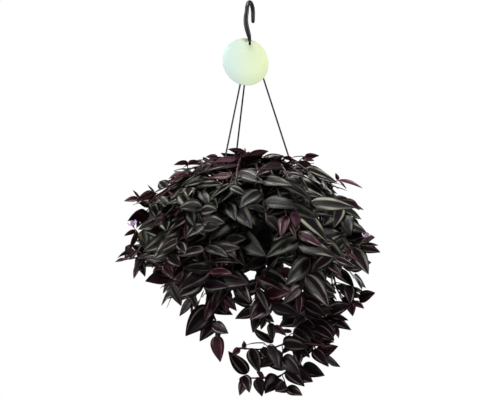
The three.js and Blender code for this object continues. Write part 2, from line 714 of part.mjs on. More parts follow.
// Made pieces.
function potSolid() {
  const base = POT.rimTop - POT.height;
  const under = POT.rimTop - POT.lip;
  const profile = [
    [0, base], [POT.baseRadius - 1.5, base], [POT.baseRadius, base + 1.5],
    [POT.neckRadius, under - POT.rimDepth], [POT.neckRadius, under], [POT.rimRadius - 1, under],
    [POT.rimRadius - 1, under - 1.4], [POT.rimRadius, under - 1.4], [POT.rimRadius, POT.rimTop],
    [POT.neckRadius - POT.wall - 0.6, POT.rimTop], [POT.neckRadius - POT.wall - 0.6, under - POT.rimDepth],
    [POT.baseRadius - POT.wall, base + POT.floor], [0, base + POT.floor],
  ];
  let solid = solidOf(turned(profile, POT.sides));
  for (const bearing of STRAND.bearings) {
    const at = around(STRAND.anchorCircle, bearing, 0);
    solid = solid.subtract(solidOf(upright(at.x, at.y, under - 2, POT.rimTop + 2, STRAND.anchorHole, 6)));
  }
  for (let i = 0; i < POT.drains; i++) {
    const at = around(POT.drainCircle, 45 + (360 * i) / POT.drains, 0);
    solid = solid.subtract(solidOf(upright(at.x, at.y, base - 2, base + POT.floor + 2, POT.drainRadius, 6)));
  }
  return solid;
}

function upright(x, y, low, high, radius, sides) {
  const geometry = new THREE.CylinderGeometry(radius, radius, high - low, sides).rotateX(Math.PI / 2);
  return geometry.translate(x, y, (low + high) / 2);
}

function soilSolid(stems) {
  const base = POT.rimTop - POT.height + POT.floor + SOIL.gap;
  const neck = POT.neckRadius - POT.wall - 0.6;
  const fit = 0.35 + SOIL.gap;
  const profile = [
    [0, base], [POT.baseRadius - POT.wall - fit, base], [neck - fit, SOIL.top], [0, SOIL.top + 1.5],
  ];
  const holes = stems.map((stem) => {
    const { x, y } = stem.foot;
    return solidOf(upright(x, y, SOIL.top - SOIL.holeDepth, SOIL.top + 5, SOIL.holeRadius, SOIL.holeSides));
  });
  return solidOf(turned(profile, SOIL.sides)).subtract(wasm.Manifold.union(holes));
}

function hookSolid() {
  const turn = radians(HOOK.bearing);
  const onLoop = (u, z) => new THREE.Vector3(u * Math.cos(turn), u * Math.sin(turn), z);
  const heart = HOOK.loopRodRadius - HOOK.loopRadius;
  const points = [onLoop(HOOK.loopRadius, heart - 11.5), onLoop(HOOK.loopRadius, heart - 10.4)];
  const radii = [1.3, HOOK.tipRadius];
  const arcSteps = 8;
  for (let i = 0; i <= arcSteps; i++) {
    const angle = (Math.PI * i) / arcSteps;
    points.push(onLoop(HOOK.loopRadius * Math.cos(angle), heart + HOOK.loopRadius * Math.sin(angle)));
    radii.push(HOOK.loopRodRadius);
  }
  const { shankRadius, neckRadius } = HOOK;
  const shank = [
    [-4.9, -11.2, -16, shankRadius - 0.2], [-5.0, -11.6, -23, shankRadius], [-3.4, -12.0, -31, shankRadius],
    [-1.0, -12.3, -38.5, shankRadius - 0.2], [-0.5, -12.0, -42.4, neckRadius + 0.4],
    [-0.4, -11.0, -44.2, neckRadius],
    [-0.2, -5.0, -47.2, neckRadius], [0, -1.2, -49.2, neckRadius + 0.2], [0, 0, -51.4, neckRadius + 0.4],
    [0, 0, HUB.top - 1, neckRadius + 0.7],
  ];
  for (const [x, y, z, radius] of shank) {
    points.push(new THREE.Vector3(x, y, z));
    radii.push(radius);
  }
  const rod = tube(points, radii, HOOK.sides);
  const bottom = HUB.top - HUB.thickness;
  const hub = turned([
    [0, bottom], [HUB.radius - 1.2, bottom], [HUB.radius, bottom + 1.2], [HUB.radius, HUB.top - 0.8],
    [HUB.radius - 0.8, HUB.top], [0, HUB.top],
  ], HUB.sides);
  let solid = solidOf(geometryOf(rod.points, rod.triangles)).add(solidOf(hub));
  for (const bearing of STRAND.bearings) {
    const at = around(HUB.holeCircle, bearing, 0);
    solid = solid.subtract(solidOf(upright(at.x, at.y, bottom - 2, HUB.top + 1, HUB.holeRadius, 6)));
  }
  return solid;
}

// A strand runs from a stop above the hub, through the holes in the hub and the rim, to a stop under the rim.
function strandSolid(bearing) {
  const bottom = HUB.top - HUB.thickness;
  const rimUnder = POT.rimTop - POT.lip;
  const upper = around(HUB.holeCircle, bearing, (HUB.top + bottom) / 2);
  const lower = around(STRAND.anchorCircle, bearing, (POT.rimTop + rimUnder) / 2);
  const way = lower.clone().sub(upper).normalize();
  const top = upper.clone().addScaledVector(way, -3.2);
  const end = lower.clone().addScaledVector(way, 3.4);
  const rod = bar(top, end, STRAND.radius, STRAND.sides);
  const stop = (at, z, radius) =>
    solidOf(new THREE.SphereGeometry(radius, 6, 4).rotateX(Math.PI / 2).translate(at.x, at.y, z));
  return solidOf(geometryOf(rod.points, rod.triangles))
    .add(stop(top, HUB.top + STRAND.topStop + STRAND.gap, STRAND.topStop))
    .add(stop(end, rimUnder - STRAND.rimStop - STRAND.gap, STRAND.rimStop));
}

function tagMesh() {
  const face = new THREE.Shape().absarc(0, TAG.holeInset - TAG.radius, TAG.radius, 0, 2 * Math.PI);
  const hole = new THREE.Path().absarc(0, 0, TAG.holeRadius, 0, 2 * Math.PI, true);
  face.holes.push(hole);
  const geometry = new THREE.ExtrudeGeometry(face, {
    depth: TAG.thickness, bevelEnabled: false, curveSegments: TAG.sides / 2,
  });
  return geometry.translate(0, 0, -TAG.thickness / 2);
}

// Finishes as the plant shows them.
const finish = (color, roughness) => new THREE.MeshStandardMaterial({ color, roughness, metalness: 0 });
const FINISHES = {
  foliage: finish(0x2c2528, 0.45),
  bloom: finish(0xc07fd0, 0.6),
  pot: finish(0x1a1b1c, 0.6),
  soil: finish(0x2b1d14, 0.95),
  hanger: finish(0x17191a, 0.4),
  tag: finish(0xd9efd2, 0.5),
};

const plant = new THREE.Group();

function add(name, geometry, material) {
  const mesh = new THREE.Mesh(geometry, material);
  mesh.name = name;
  plant.add(mesh);
  return mesh;
}

const stems = grow();
add('pot', geometryFrom(potSolid()), FINISHES.pot);
add('soil', geometryFrom(soilSolid(stems)), FINISHES.soil);
add('hook', geometryFrom(hookSolid()), FINISHES.hanger);
STRAND.bearings.forEach((bearing, i) => {
  add('strand_' + (i + 1), geometryFrom(strandSolid(bearing)), FINISHES.hanger);
});
const tag = add('tag', tagMesh(), FINISHES.tag);
tag.rotation.set(radians(90 + TAG.pitch), radians(TAG.lean), radians(TAG.turn), 'ZYX');
tag.position.set(...TAG.hole);
for (const stem of stems) {
  const bodies = [stemTube(stem), ...stem.leaves.map((leaf) => blade(leaf))];
  const solids = bodies.map(({ points, triangles }) => solidOf(geometryOf(points, triangles)));
  add('stem_' + stem.name, geometryFrom(wasm.Manifold.union(solids)), FINISHES.foliage);
  if (stem.flower) {
    const petals = flowerParts(stem).map(({ points, triangles }) => solidOf(geometryOf(points, triangles)));
    add('bloom_' + stem.name, geometryFrom(wasm.Manifold.union(petals)), FINISHES.bloom);
  }
}

export default plant;
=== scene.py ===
"""Dresses a hanging pot of dark trailing tradescantia for a plain studio picture.

The stems and leaves grow by the same rule as the solids do, in millimetres, and each blade is then made
finer where its solid blade sits. Everything is handed to Blender in metres, in the part's own frame.
"""

import logging
import math
from dataclasses import dataclass
from enum import Enum
from functools import lru_cache
from typing import Callable, Iterable, Optional, Sequence

import bmesh
import bpy
import numpy as np
from mathutils import Matrix, Vector, noise


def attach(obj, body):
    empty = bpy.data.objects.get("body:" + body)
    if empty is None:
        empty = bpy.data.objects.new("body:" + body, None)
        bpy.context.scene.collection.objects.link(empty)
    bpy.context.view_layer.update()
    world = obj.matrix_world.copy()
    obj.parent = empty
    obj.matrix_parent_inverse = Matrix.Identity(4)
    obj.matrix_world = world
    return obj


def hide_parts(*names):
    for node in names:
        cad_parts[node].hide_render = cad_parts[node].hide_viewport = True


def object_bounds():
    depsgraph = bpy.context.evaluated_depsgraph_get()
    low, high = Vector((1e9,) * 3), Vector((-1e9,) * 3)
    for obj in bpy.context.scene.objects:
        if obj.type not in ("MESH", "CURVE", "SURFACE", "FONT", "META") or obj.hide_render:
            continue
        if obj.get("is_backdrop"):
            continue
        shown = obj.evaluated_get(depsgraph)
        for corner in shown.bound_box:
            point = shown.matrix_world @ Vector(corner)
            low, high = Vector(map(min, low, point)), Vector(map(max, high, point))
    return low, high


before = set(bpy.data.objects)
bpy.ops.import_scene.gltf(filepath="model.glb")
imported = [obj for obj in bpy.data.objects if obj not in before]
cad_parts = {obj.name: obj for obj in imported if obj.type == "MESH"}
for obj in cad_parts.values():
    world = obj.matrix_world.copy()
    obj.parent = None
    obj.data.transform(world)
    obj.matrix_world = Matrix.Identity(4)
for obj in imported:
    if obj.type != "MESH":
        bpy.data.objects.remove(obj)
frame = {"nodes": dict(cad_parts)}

LOG = logging.getLogger("plant")
MM = 0.001
DOWN = np.array((0.0, 0.0, -1.0))
UP = np.array((0.0, 0.0, 1.0))
Array = np.ndarray


# Small vector helpers in double precision, which the growth needs.
def vec(x: float, y: float, z: float) -> Array:
    """A point or direction as an array."""
    return np.array((x, y, z), float)


def dot(a: Array, b: Array) -> float:
    """The scalar product of two directions."""
    return a[0] * b[0] + a[1] * b[1] + a[2] * b[2]


def cross(a: Array, b: Array) -> Array:
    """The vector product of two directions."""
    return vec(a[1] * b[2] - a[2] * b[1], a[2] * b[0] - a[0] * b[2], a[0] * b[1] - a[1] * b[0])


def crosses(a: Array, b: Array) -> Array:
    """The vector products of whole tables of directions."""
    return np.stack([a[..., i] * b[..., j] - a[..., j] * b[..., i] for i, j in ((1, 2), (2, 0), (0, 1))], -1)


def unit(a: Array) -> Array:
    """A direction of length one."""
    return a / (math.sqrt(dot(a, a)) or 1.0)


def around(radius: float, degrees: float, z: float) -> Array:
    """A point on a circle about the Z axis."""
    turn = math.radians(degrees)
    return vec(radius * math.cos(turn), radius * math.sin(turn), z)


def held(value: float, high: float = 1.0) -> float:
    """A number held from 0 to a limit."""
    return min(high, max(0.0, value))


# Driving sizes, the same as the solids have, in millimetres.
@dataclass(frozen=True)
class PotSizes:
    """The pot, its soil and the keep-out round them."""

    rim_top: float = -214.0
    height: float = 92.0
    base_radius: float = 42.0
    neck_radius: float = 55.5
    rim_radius: float = 62.5
    rim_depth: float = 6.0
    lip: float = 2.4
    wall: float = 1.6
    floor: float = 2.2
    soil_top: float = -222.0
    drains: int = 4
    drain_radius: float = 4.0
    drain_circle: float = 24.0


@dataclass(frozen=True)
class HangerSizes:
    """The hook, its hub and the strands."""

    loop_radius: float = 11.6
    bearing: float = 72.0
    tip_radius: float = 2.4
    loop_rod: float = 2.6
    shank: float = 3.0
    neck: float = 1.6
    hub_top: float = -53.0
    hub_thickness: float = 3.6
    hub_radius: float = 8.4
    hub_circle: float = 5.4
    strand: float = 1.0
    strand_bearings: tuple[float, ...] = (-128.0, 112.0, -8.0)
    anchor_circle: float = 57.4
    anchor_hole: float = 2.2
    top_stop: float = 1.9
    rim_stop: float = 2.4
    gap: float = 0.3


@dataclass(frozen=True)
class StemSizes:
    """The stems of the solids."""

    base_radius: float = 1.9
    tip_radius: float = 1.25
    sides: int = 3
    buried: float = 13.0
    bare_foot: float = 9.0
    collar: float = 3.0
    crest_rings: tuple[float, ...] = (28.0, 14.0, 0.0)
    span_steps: int = 12
    straight: float = 1.0
    tries: int = 24


@dataclass(frozen=True)
class LeafSizes:
    """The blades of the solids."""

    thickness: float = 1.2
    sunk: float = 0.5
    steps: int = 8
    large_rows: tuple[int, ...] = (1, 3, 6)
    small_rows: tuple[int, ...] = (1, 3)
    large_from: float = 48.0
    width_scale: float = 2.701
    base_power: float = 0.5
    tip_power: float = 1.1


@dataclass(frozen=True)
class GrowthSizes:
    """How leaves stand and how they keep clear of one another."""

    clearance: float = 0.5
    tries: int = 36
    shrink_every: int = 12
    seat: float = 0.6
    first_gap: float = 0.16
    gap_step: float = 0.09
    full_gap: float = 0.42
    young_sizes: tuple[float, ...] = (0.5, 0.66, 0.84)
    bold_sizes: tuple[float, ...] = (0.8, 0.95, 1.0)
    spreads: tuple[float, ...] = (0.2, 0.8, 1.0)
    spread: float = 1.25
    droop: float = 0.4
    sway: float = 0.35
    front: float = 0.35
    aim_y: float = -0.35
    middle: float = 25.0
    ceiling: float = -168.0
    dome: float = 300.0


@dataclass(frozen=True)
class FlowerSizes:
    """The small three-petalled blooms."""

    petals: int = 3
    length: float = 7.5
    width: float = 5.2
    opening: float = 52.0
    bud_radius: float = 1.5
    gap: float = 0.3


@dataclass(frozen=True)
class ShootSizes:
    """The short side shoots that thicken the plant where the solids have room between them."""

    first: float = 26.0
    every: float = 19.0
    trail_first: float = 7.0
    trail_every: float = 9.0
    skirt: float = -330.0
    skirt_radius: float = 88.0
    hem: float = -312.0
    domes: tuple[float, float] = (285.0, 215.0)
    reach: tuple[float, float] = (20.0, 46.0)
    trail_reach: tuple[float, float] = (7.0, 19.0)
    leaf: tuple[float, float] = (27.0, 39.0)
    ratio: float = 0.6
    radius: float = 0.8
    sway: float = 0.8
    clearance: float = 0.1
    shoot_tries: int = 14
    leaf_tries: int = 14
    young_ratio: float = 0.46
    young_first: float = 1.0
    young_gap: float = 2.4
    young_tries: int = 30
    bloom_room: float = 11.0
    open_stalk: tuple[float, ...] = (0.0, 9.0, 18.0, 27.0)


POT = PotSizes()
HANGER = HangerSizes()
STEM = StemSizes()
LEAF = LeafSizes()
GROWTH = GrowthSizes()
FLOWER = FlowerSizes()
SHOOT = ShootSizes()


@dataclass(frozen=True)
class Led:
    """A stem led to a place that the plant is known by.

    An aim is a leaf's number, the way that it points in X and Z, its length, and that way in Y where it isn't
    the usual one.
    """

    name: str
    soil: tuple[float, float]
    leaf: float
    ratio: float
    via: tuple[tuple[float, float, float], ...]
    leafy_below: float = 0.0
    flower: bool = False
    bold: bool = False
    aims: tuple[tuple[float, ...], ...] = ()


@dataclass(frozen=True)
class Sprig:
    """A young tip beside a stem: how far back from its tip it starts, its own tip, and the ways of its leaves."""

    stem: str
    at: float
    tip: tuple[float, float, float]
    leaves: tuple[tuple[float, float, float, float], ...]


@dataclass(frozen=True)
class Habit:
    """A ring of stems that grow alike: radius and height of each point, and the first bearing."""

    name: str
    count: int
    first: float
    soil: float
    via: tuple[tuple[float, float], ...]
    leaf: float
    ratio: float
    span: float = 360.0


LED_STEMS = (
    Led("trail_low_left", (42, -48), 31, 0.66, ((52, -62, -196), (62, -84, -240), (58, -86, -310), (55, -80, -363),
        (46, -84, -386), (20, -86, -397), (-13, -88, -396)), leafy_below=-262, aims=((0, -0.8, -0.6, 13),
        (1, 0.1, 1, 11), (2, 0.45, -0.9, 28), (3, 0.8, -0.6, 22), (4, -0.9, 0.35, 27, -0.8), (5, 1, 0.05, 33),
        (6, -0.85, 0.5, 30), (7, 0.85, -0.2, 29), (8, -0.9, -0.2, 30), (9, -0.9, 0.3, 28), (10, 0.8, -0.6, 28))),
    Led("trail_lowest", (36, -36), 31, 0.66, ((56, -44, -198), (74, -62, -240), (66, -62, -310), (57, -66, -360),
        (51, -70, -400), (36, -74, -428), (-6, -76, -431)), leafy_below=-262, aims=((0, -0.25, -1, 23),
        (1, -1, 0.3, 12, -0.6), (2, 0.45, -0.9, 21), (3, 0.5, -0.87, 16), (4, -0.9, -0.1, 34, -0.75),
        (5, 0.95, -0.2, 34), (6, -0.75, -0.6, 22, -0.7), (7, 0.4, -0.92, 26), (8, 0.92, 0.1, 29),
        (9, -0.6, -0.8, 23), (10, 0.85, -0.5, 30, -0.8), (11, 0.9, 0.2, 25))),
    Led("trail_low_right", (46, -30), 32, 0.66, ((62, -36, -196), (80, -46, -240), (76, -52, -310), (72, -58, -362),
        (72, -60, -390), (76, -60, -406)), leafy_below=-262, aims=((0, 0.82, 0.57, 30), (1, -0.35, -0.95, 21, -0.7),
        (2, 0.9, 0.25, 22), (3, -0.75, -0.65, 26), (4, 0.85, -0.5, 28), (5, -0.9, -0.3, 25))),
    Led("trail_right", (38, -22), 38, 0.62, ((62, -25, -198), (84, -34, -236), (88, -42, -300), (84, -46, -345),
        (86, -48, -368), (97, -50, -376)), aims=((0, 0.3, -0.95, 14), (2, 0.95, -0.3, 35), (3, 0.98, 0.1, 26),
        (4, 0.5, -0.85, 28))),
    Led("trail_side", (46, -14), 40, 0.6, ((66, -17, -196), (86, -24, -240), (94, -32, -290), (98, -38, -326),
        (106, -40, -342), (120, -42, -349)), aims=((0, 0.9, -0.3, 14), (2, 0.3, -0.9, 33, -0.7), (3, 0.9, -0.4, 26),
        (4, 0.85, -0.5, 30))),
    Led("trail_front", (46, -72), 34, 0.54, ((24, -60, -196), (26, -82, -236), (20, -96, -290), (10, -100, -326),
        (11, -100, -356), (28, -97, -371)), leafy_below=-235, aims=((2, -0.5, -0.85, 16), (3, -0.1, -1, 25))),
    Led("left_low", (46, -118), 42, 0.62, ((-32, -58, -196), (-50, -76, -240), (-56, -84, -296), (-47, -84, -340),
        (-38, -84, -368), (-38, -84, -384)), aims=((0, 0.3, -0.95, 30), (1, 0.9, -0.4, 18), (2, -0.75, -0.65, 32),
        (6, 0.93, -0.36, 44))),
    Led("left_low_side", (46, -140), 38, 0.58, ((-48, -44, -196), (-62, -54, -240), (-70, -62, -290),
        (-71, -62, -326), (-64, -62, -350)), aims=((4, -0.9, -0.45, 32),)),
    Led("left_reach", (38, -160), 36, 0.46, ((-58, -22, -198), (-84, -28, -230), (-100, -26, -268),
        (-122, -24, -294), (-147, -24, -300)), aims=((0, -1, 0, 13), (1, 0.8, 0.6, 17), (2, 0.6, -0.8, 26),
        (3, -0.35, -0.93, 28, -0.7))),
    Led("left_flower", (30, -146), 36, 0.44, ((-52, -36, -190), (-70, -46, -232), (-84, -52, -280),
        (-103, -50, -294), (-118, -46, -282), (-133, -44, -263)), leafy_below=-290, flower=True,
        aims=((4, 0.85, -0.5, 28),)),
    Led("left_upper", (26, -172), 42, 0.46, ((-50, -12, -194), (-80, -26, -209), (-103, -34, -226),
        (-122, -38, -236)), bold=True, aims=((0, -0.95, 0.1, 19), (1, 0.6, -0.8, 28), (2, 0.75, -0.66, 29),
        (3, 0.9, -0.4, 27))),
    Led("left_top", (18, -150), 34, 0.44, ((-36, -20, -192), (-60, -28, -192), (-80, -33, -199))),
    Led("crown_left", (14, -120), 38, 0.44, ((-14, -16, -196), (-28, -22, -192), (-42, -28, -186))),
    Led("crown_middle", (8, 100), 36, 0.46, ((-2, 6, -204), (-4, 0, -188), (-6, -8, -170))),
    Led("crown_right", (18, -20), 40, 0.46, ((28, -10, -196), (46, -16, -190), (60, -20, -185)), bold=True),
    Led("right_top", (26, 14), 40, 0.44, ((44, 10, -194), (64, 6, -196), (84, 0, -206), (98, -4, -216))),
    Led("right_upper", (32, -18), 40, 0.5, ((54, -20, -193), (78, -33, -206), (97, -44, -227), (108, -46, -244)),
        bold=True),
    Led("right_flower", (22, -34), 44, 0.6, ((46, -34, -186), (78, -50, -212), (96, -58, -256), (108, -60, -280),
        (121, -58, -288), (130, -56, -276)), flower=True, aims=((1, 1, -0.05, 27), (2, 0.35, -0.95, 38),
        (3, -0.8, -0.6, 28), (4, 0.98, 0, 34))),
    Led("front_star", (34, -62), 32, 0.5, ((32, -58, -189), (47, -86, -216), (54, -106, -252), (52, -120, -280)),
        bold=True, aims=((0, 0.98, -0.18, 42), (1, -0.9, -0.42, 43), (2, 0.88, -0.48, 36), (3, -0.85, -0.52, 50),
        (4, 0.78, -0.62, 46), (5, -0.8, -0.3, 38))),
    Led("front_high", (30, -84), 44, 0.5, ((6, -52, -190), (10, -84, -204), (14, -106, -232), (18, -118, -250)),
        bold=True, aims=((0, 0.7, -0.72, 32), (1, -0.85, 0.5, 24))),
    Led("front_left", (34, -136), 44, 0.5, ((-42, -46, -190), (-60, -74, -214), (-66, -92, -238), (-70, -102, -258)),
        aims=((0, 0.05, -1, 20), (1, -0.85, -0.5, 28), (3, -0.97, -0.1, 28))),
    Led("front_brow", (22, -104), 46, 0.48, ((-10, -46, -186), (-14, -74, -194), (-16, -98, -214)), bold=True,
        aims=((0, -0.85, -0.5, 32), (1, 0.8, 0.5, 24))),
    Led("front_middle", (40, -92), 52, 0.5, ((-4, -58, -194), (-8, -86, -222), (-14, -100, -258), (-18, -104, -298),
        (-24, -102, -332))),
    Led("front_right", (40, -44), 52, 0.5, ((44, -46, -192), (62, -70, -212), (70, -92, -250), (66, -98, -296),
        (54, -96, -336))),
    Led("front_low", (42, -112), 48, 0.54, ((-24, -62, -196), (-36, -90, -232), (-44, -106, -274), (-42, -108, -310),
        (-28, -106, -338)), aims=((4, 0.95, 0.1, 34),)),
)

SPRIGS = (
    Sprig("right_top", 6, (103, -40, -208), ((1, -0.4, -0.5, 30), (-0.2, -0.5, 0.9, 12), (0.5, -0.9, -0.7, 16))),
    Sprig("right_upper", 14, (113, -44, -231), ((0.75, -0.3, -0.65, 17), (1, -0.3, 0.1, 12))),
    Sprig("crown_right", 4, (65, -28, -180), ((1, -0.3, 0.12, 19), (-1, -0.3, 0.1, 18), (0.9, -0.5, -0.5, 15))),
    Sprig("crown_right", 16, (48, -30, -183), ((-0.8, -0.5, -0.1, 16), (0.3, -0.7, -0.3, 18))),
    Sprig("left_top", 8, (-71, -38, -187), ((-1, -0.3, -0.08, 19), (0.9, -0.3, 0.2, 15), (-0.3, -0.4, 0.9, 9))),
    Sprig("crown_left", 8, (-38, -34, -181), ((-0.8, -0.4, 0.35, 17), (0.7, -0.4, -0.2, 17))),
    Sprig("left_upper", 22, (-112, -48, -222), ((-1, -0.3, -0.25, 22), (-0.3, -0.5, 0.6, 14), (-0.7, -0.4, -0.6, 18))),
    Sprig("left_upper", 4, (-130, -44, -229), ((-1, -0.3, -0.1, 19), (-0.6, -0.4, 0.7, 14), (-0.7, -0.4, -0.6, 12))),
    Sprig("left_flower", 8, (-131, -49, -266), ((-0.85, -0.3, -0.4, 15), (-0.55, -0.3, -0.85, 22))),
    Sprig("left_reach", 20, (-129, -30, -306), ((-0.45, -0.3, -0.9, 18), (0.25, -0.3, -1, 16))),
    Sprig("left_reach", 46, (-106, -36, -308), ((-0.35, -0.4, -0.9, 20), (0.5, -0.4, -0.8, 18))),
    Sprig("trail_side", 78, (113, -44, -290), ((0.9, -0.3, -0.45, 18), (0.6, -0.3, -0.8, 16), (1, -0.3, 0.2, 12))),
    Sprig("right_flower", 5, (131, -64, -282), ((1, -0.2, -0.12, 17), (0.7, -0.3, -0.6, 15))),
    Sprig("right_flower", 36, (112, -72, -292), ((0.6, -0.5, -0.8, 16), (0.95, -0.5, -0.3, 15))),
)

HABITS = (
    Habit("skirt", 7, 14, 46, ((69, -196), (84, -238), (86, -286), (84, -330)), 48, 0.52),
    Habit("fall", 8, 32, 34, ((60, -194), (84, -220), (98, -260), (100, -302)), 50, 0.5),
    Habit("arch", 7, 24, 22, ((46, -193), (78, -206), (103, -233), (118, -268)), 48, 0.48),
    Habit("crown", 6, 40, 13, ((22, -203), (36, -195), (54, -192)), 46, 0.48),
)


class Draw:
    """A repeatable draw of numbers, the same one that the solids grow by."""

    def __init__(self, seed: int) -> None:
        """Starts the row of numbers.

        Args:
            seed: a whole number.
        """
        self.state = (seed * 2654435761) & 0xFFFFFFFF
        self.share()
        self.share()

    def share(self) -> float:
        """The next number from 0 to 1."""
        self.state = (self.state * 1664525 + 1013904223) & 0xFFFFFFFF
        return self.state / 4294967296.0

    def __call__(self, low: float, high: float) -> float:
        """The next number between two limits."""
        return low + (high - low) * self.share()


def ring_faces(rings: int, sides: int, capped: bool = True) -> Array:
    """The triangles of a tube.

    Args:
        rings: how many rings it has.
        sides: how many corners a ring has.
        capped: whether both ends are closed.

    Returns:
        Rows of three corner numbers.
    """
    faces = []
    for i in range(rings - 1):
        for k in range(sides):
            a, b = i * sides + k, i * sides + (k + 1) % sides
            faces += [(a, b, b + sides), (a, b + sides, a + sides)]
    if capped:
        end = (rings - 1) * sides
        for k in range(1, sides - 1):
            faces += [(0, k + 1, k), (end, end + k, end + k + 1)]
    return np.array(faces)


def tube_points(points: Sequence[Array], radii: Sequence[float], sides: int) -> Array:
    """The corners of a tube along points.

    Args:
        points: where its rings stand.
        radii: the radius of each ring.
        sides: how many corners a ring has.

    Returns:
        The corners, ring by ring.
    """
    last = len(points) - 1
    across = vec(1, 0.3, 0.1)
    corners = []
    for i, point in enumerate(points):
        along = unit(points[min(i + 1, last)] - points[max(i - 1, 0)])
        across = unit(across - along * dot(across, along))
        third = cross(along, across)
        for k in range(sides):
            turn = 2 * math.pi * k / sides
            corners.append(point + across * (radii[i] * math.cos(turn)) + third * (radii[i] * math.sin(turn)))
    return np.array(corners)


# What owns the bodies that aren't part of a stem.
POT_BODY, STRAND_BODY, BLOOM_BODY = -1, -2, -3


class Body:
    """A closed mesh that the growth keeps clear of others."""

    def __init__(self, points: Array, triangles: Array, owner: int, pairs: Optional[Array] = None) -> None:
        """Stores the mesh with the box of each face and edge.

        Args:
            points: the corners.
            triangles: rows of three corner numbers.
            owner: the number of the stem that it belongs to.
            pairs: the edges, where they are known already.
        """
        self.owner = owner
        self.points = points
        self.faces = points[triangles]
        self.edges = points[edge_pairs(triangles) if pairs is None else pairs]
        self.low, self.high = points.min(0), points.max(0)
        self.face_low, self.face_high = self.faces.min(1), self.faces.max(1)
        self.edge_low, self.edge_high = self.edges.min(1), self.edges.max(1)


def edge_pairs(triangles: Array) -> Array:
    """The edges of triangles, each once."""
    return np.unique(np.sort(triangles[:, (0, 1, 1, 2, 2, 0)].reshape(-1, 2), axis=1), axis=0)


def pierces(edges: Array, faces: Array) -> bool:
    """Whether any edge runs through any face.

    Args:
        edges: pairs of points.
        faces: triples of points.

    Returns:
        True where one does.
    """
    if not len(edges) or not len(faces):
        return False
    p = edges[:, None, 0]
    d = edges[:, None, 1] - p
    a = faces[None, :, 0]
    e1, e2 = faces[None, :, 1] - a, faces[None, :, 2] - a
    h = crosses(d, e2)
    det = (e1 * h).sum(-1)
    flat = np.abs(det) < 1e-9
    det = np.where(flat, 1.0, det)
    s = p - a
    u = (s * h).sum(-1) / det
    q = crosses(s, e1)
    v = (d * q).sum(-1) / det
    t = (e2 * q).sum(-1) / det
    return bool((~flat & (u >= 0) & (u <= 1) & (v >= 0) & (u + v <= 1) & (t >= 0) & (t <= 1)).any())


class Crowd:
    """All the bodies placed so far."""

    def __init__(self) -> None:
        """Starts empty."""
        self.bodies: list[Body] = []
        self.low = np.zeros((4096, 3))
        self.high = np.zeros((4096, 3))

    def add(self, body: Body) -> None:
        """Places one more body."""
        self.low[len(self.bodies)], self.high[len(self.bodies)] = body.low, body.high
        self.bodies.append(body)

    def meets(self, body: Body, skip: Callable[[Body], bool]) -> bool:
        """Whether a body crosses any of them.

        Args:
            body: the one that is tried.
            skip: says which bodies don't count.

        Returns:
            True where it crosses one.
        """
        count = len(self.bodies)
        near = (self.low[:count] <= body.high).all(1) & (self.high[:count] >= body.low).all(1)
        close = [self.bodies[i] for i in np.nonzero(near)[0] if not skip(self.bodies[i])]
        if not close:
            return False
        faces = np.concatenate([
            b.faces[(b.face_low <= body.high).all(1) & (b.face_high >= body.low).all(1)] for b in close])
        if pierces(body.edges, faces):
            return True
        edges = np.concatenate([
            b.edges[(b.edge_low <= body.high).all(1) & (b.edge_high >= body.low).all(1)] for b in close])
        return pierces(edges, body.faces)


def smooth_line(points: Sequence[Array], steps: int) -> list[Array]:
    """A smooth curve through points.

    Args:
        points: what it runs through.
        steps: how many points it has for each span.

    Returns:
        The points of the curve.
    """
    ends = [points[0] * 2 - points[1], *points, points[-1] * 2 - points[-2]]
    line = []
    for a, b, c, d in zip(ends, ends[1:], ends[2:], ends[3:]):
        for k in range(steps):
            t = k / steps
            line.append(0.5 * (
                2 * b + (c - a) * t + (2 * a - 5 * b + 4 * c - d) * t * t + (3 * b - a - 3 * c + d) * t * t * t))
    return [*line, points[-1]]


class Path:
    """A smooth curve through points, measured from its tip."""

    def __init__(self, through: Sequence[Array]) -> None:
        """Runs the curve.

        Args:
            through: the points that it runs through, from the foot to the tip.
        """
        self.samples = smooth_line(through, STEM.span_steps)[::-1]
        self.reach = [0.0]
        for one, other in zip(self.samples, self.samples[1:]):
            gap = other - one
            self.reach.append(self.reach[-1] + math.sqrt(dot(gap, gap)))
        self.length = self.reach[-1]

    def from_tip(self, distance: float) -> Array:
        """A point of the curve.

        Args:
            distance: how far back from the tip it is.

        Returns:
            The point.
        """
        last = len(self.samples) - 1
        i = 1
        while i < last and self.reach[i] < distance:
            i += 1
        share = (distance - self.reach[i - 1]) / (self.reach[i] - self.reach[i - 1])
        return self.samples[i - 1] + (self.samples[i] - self.samples[i - 1]) * share


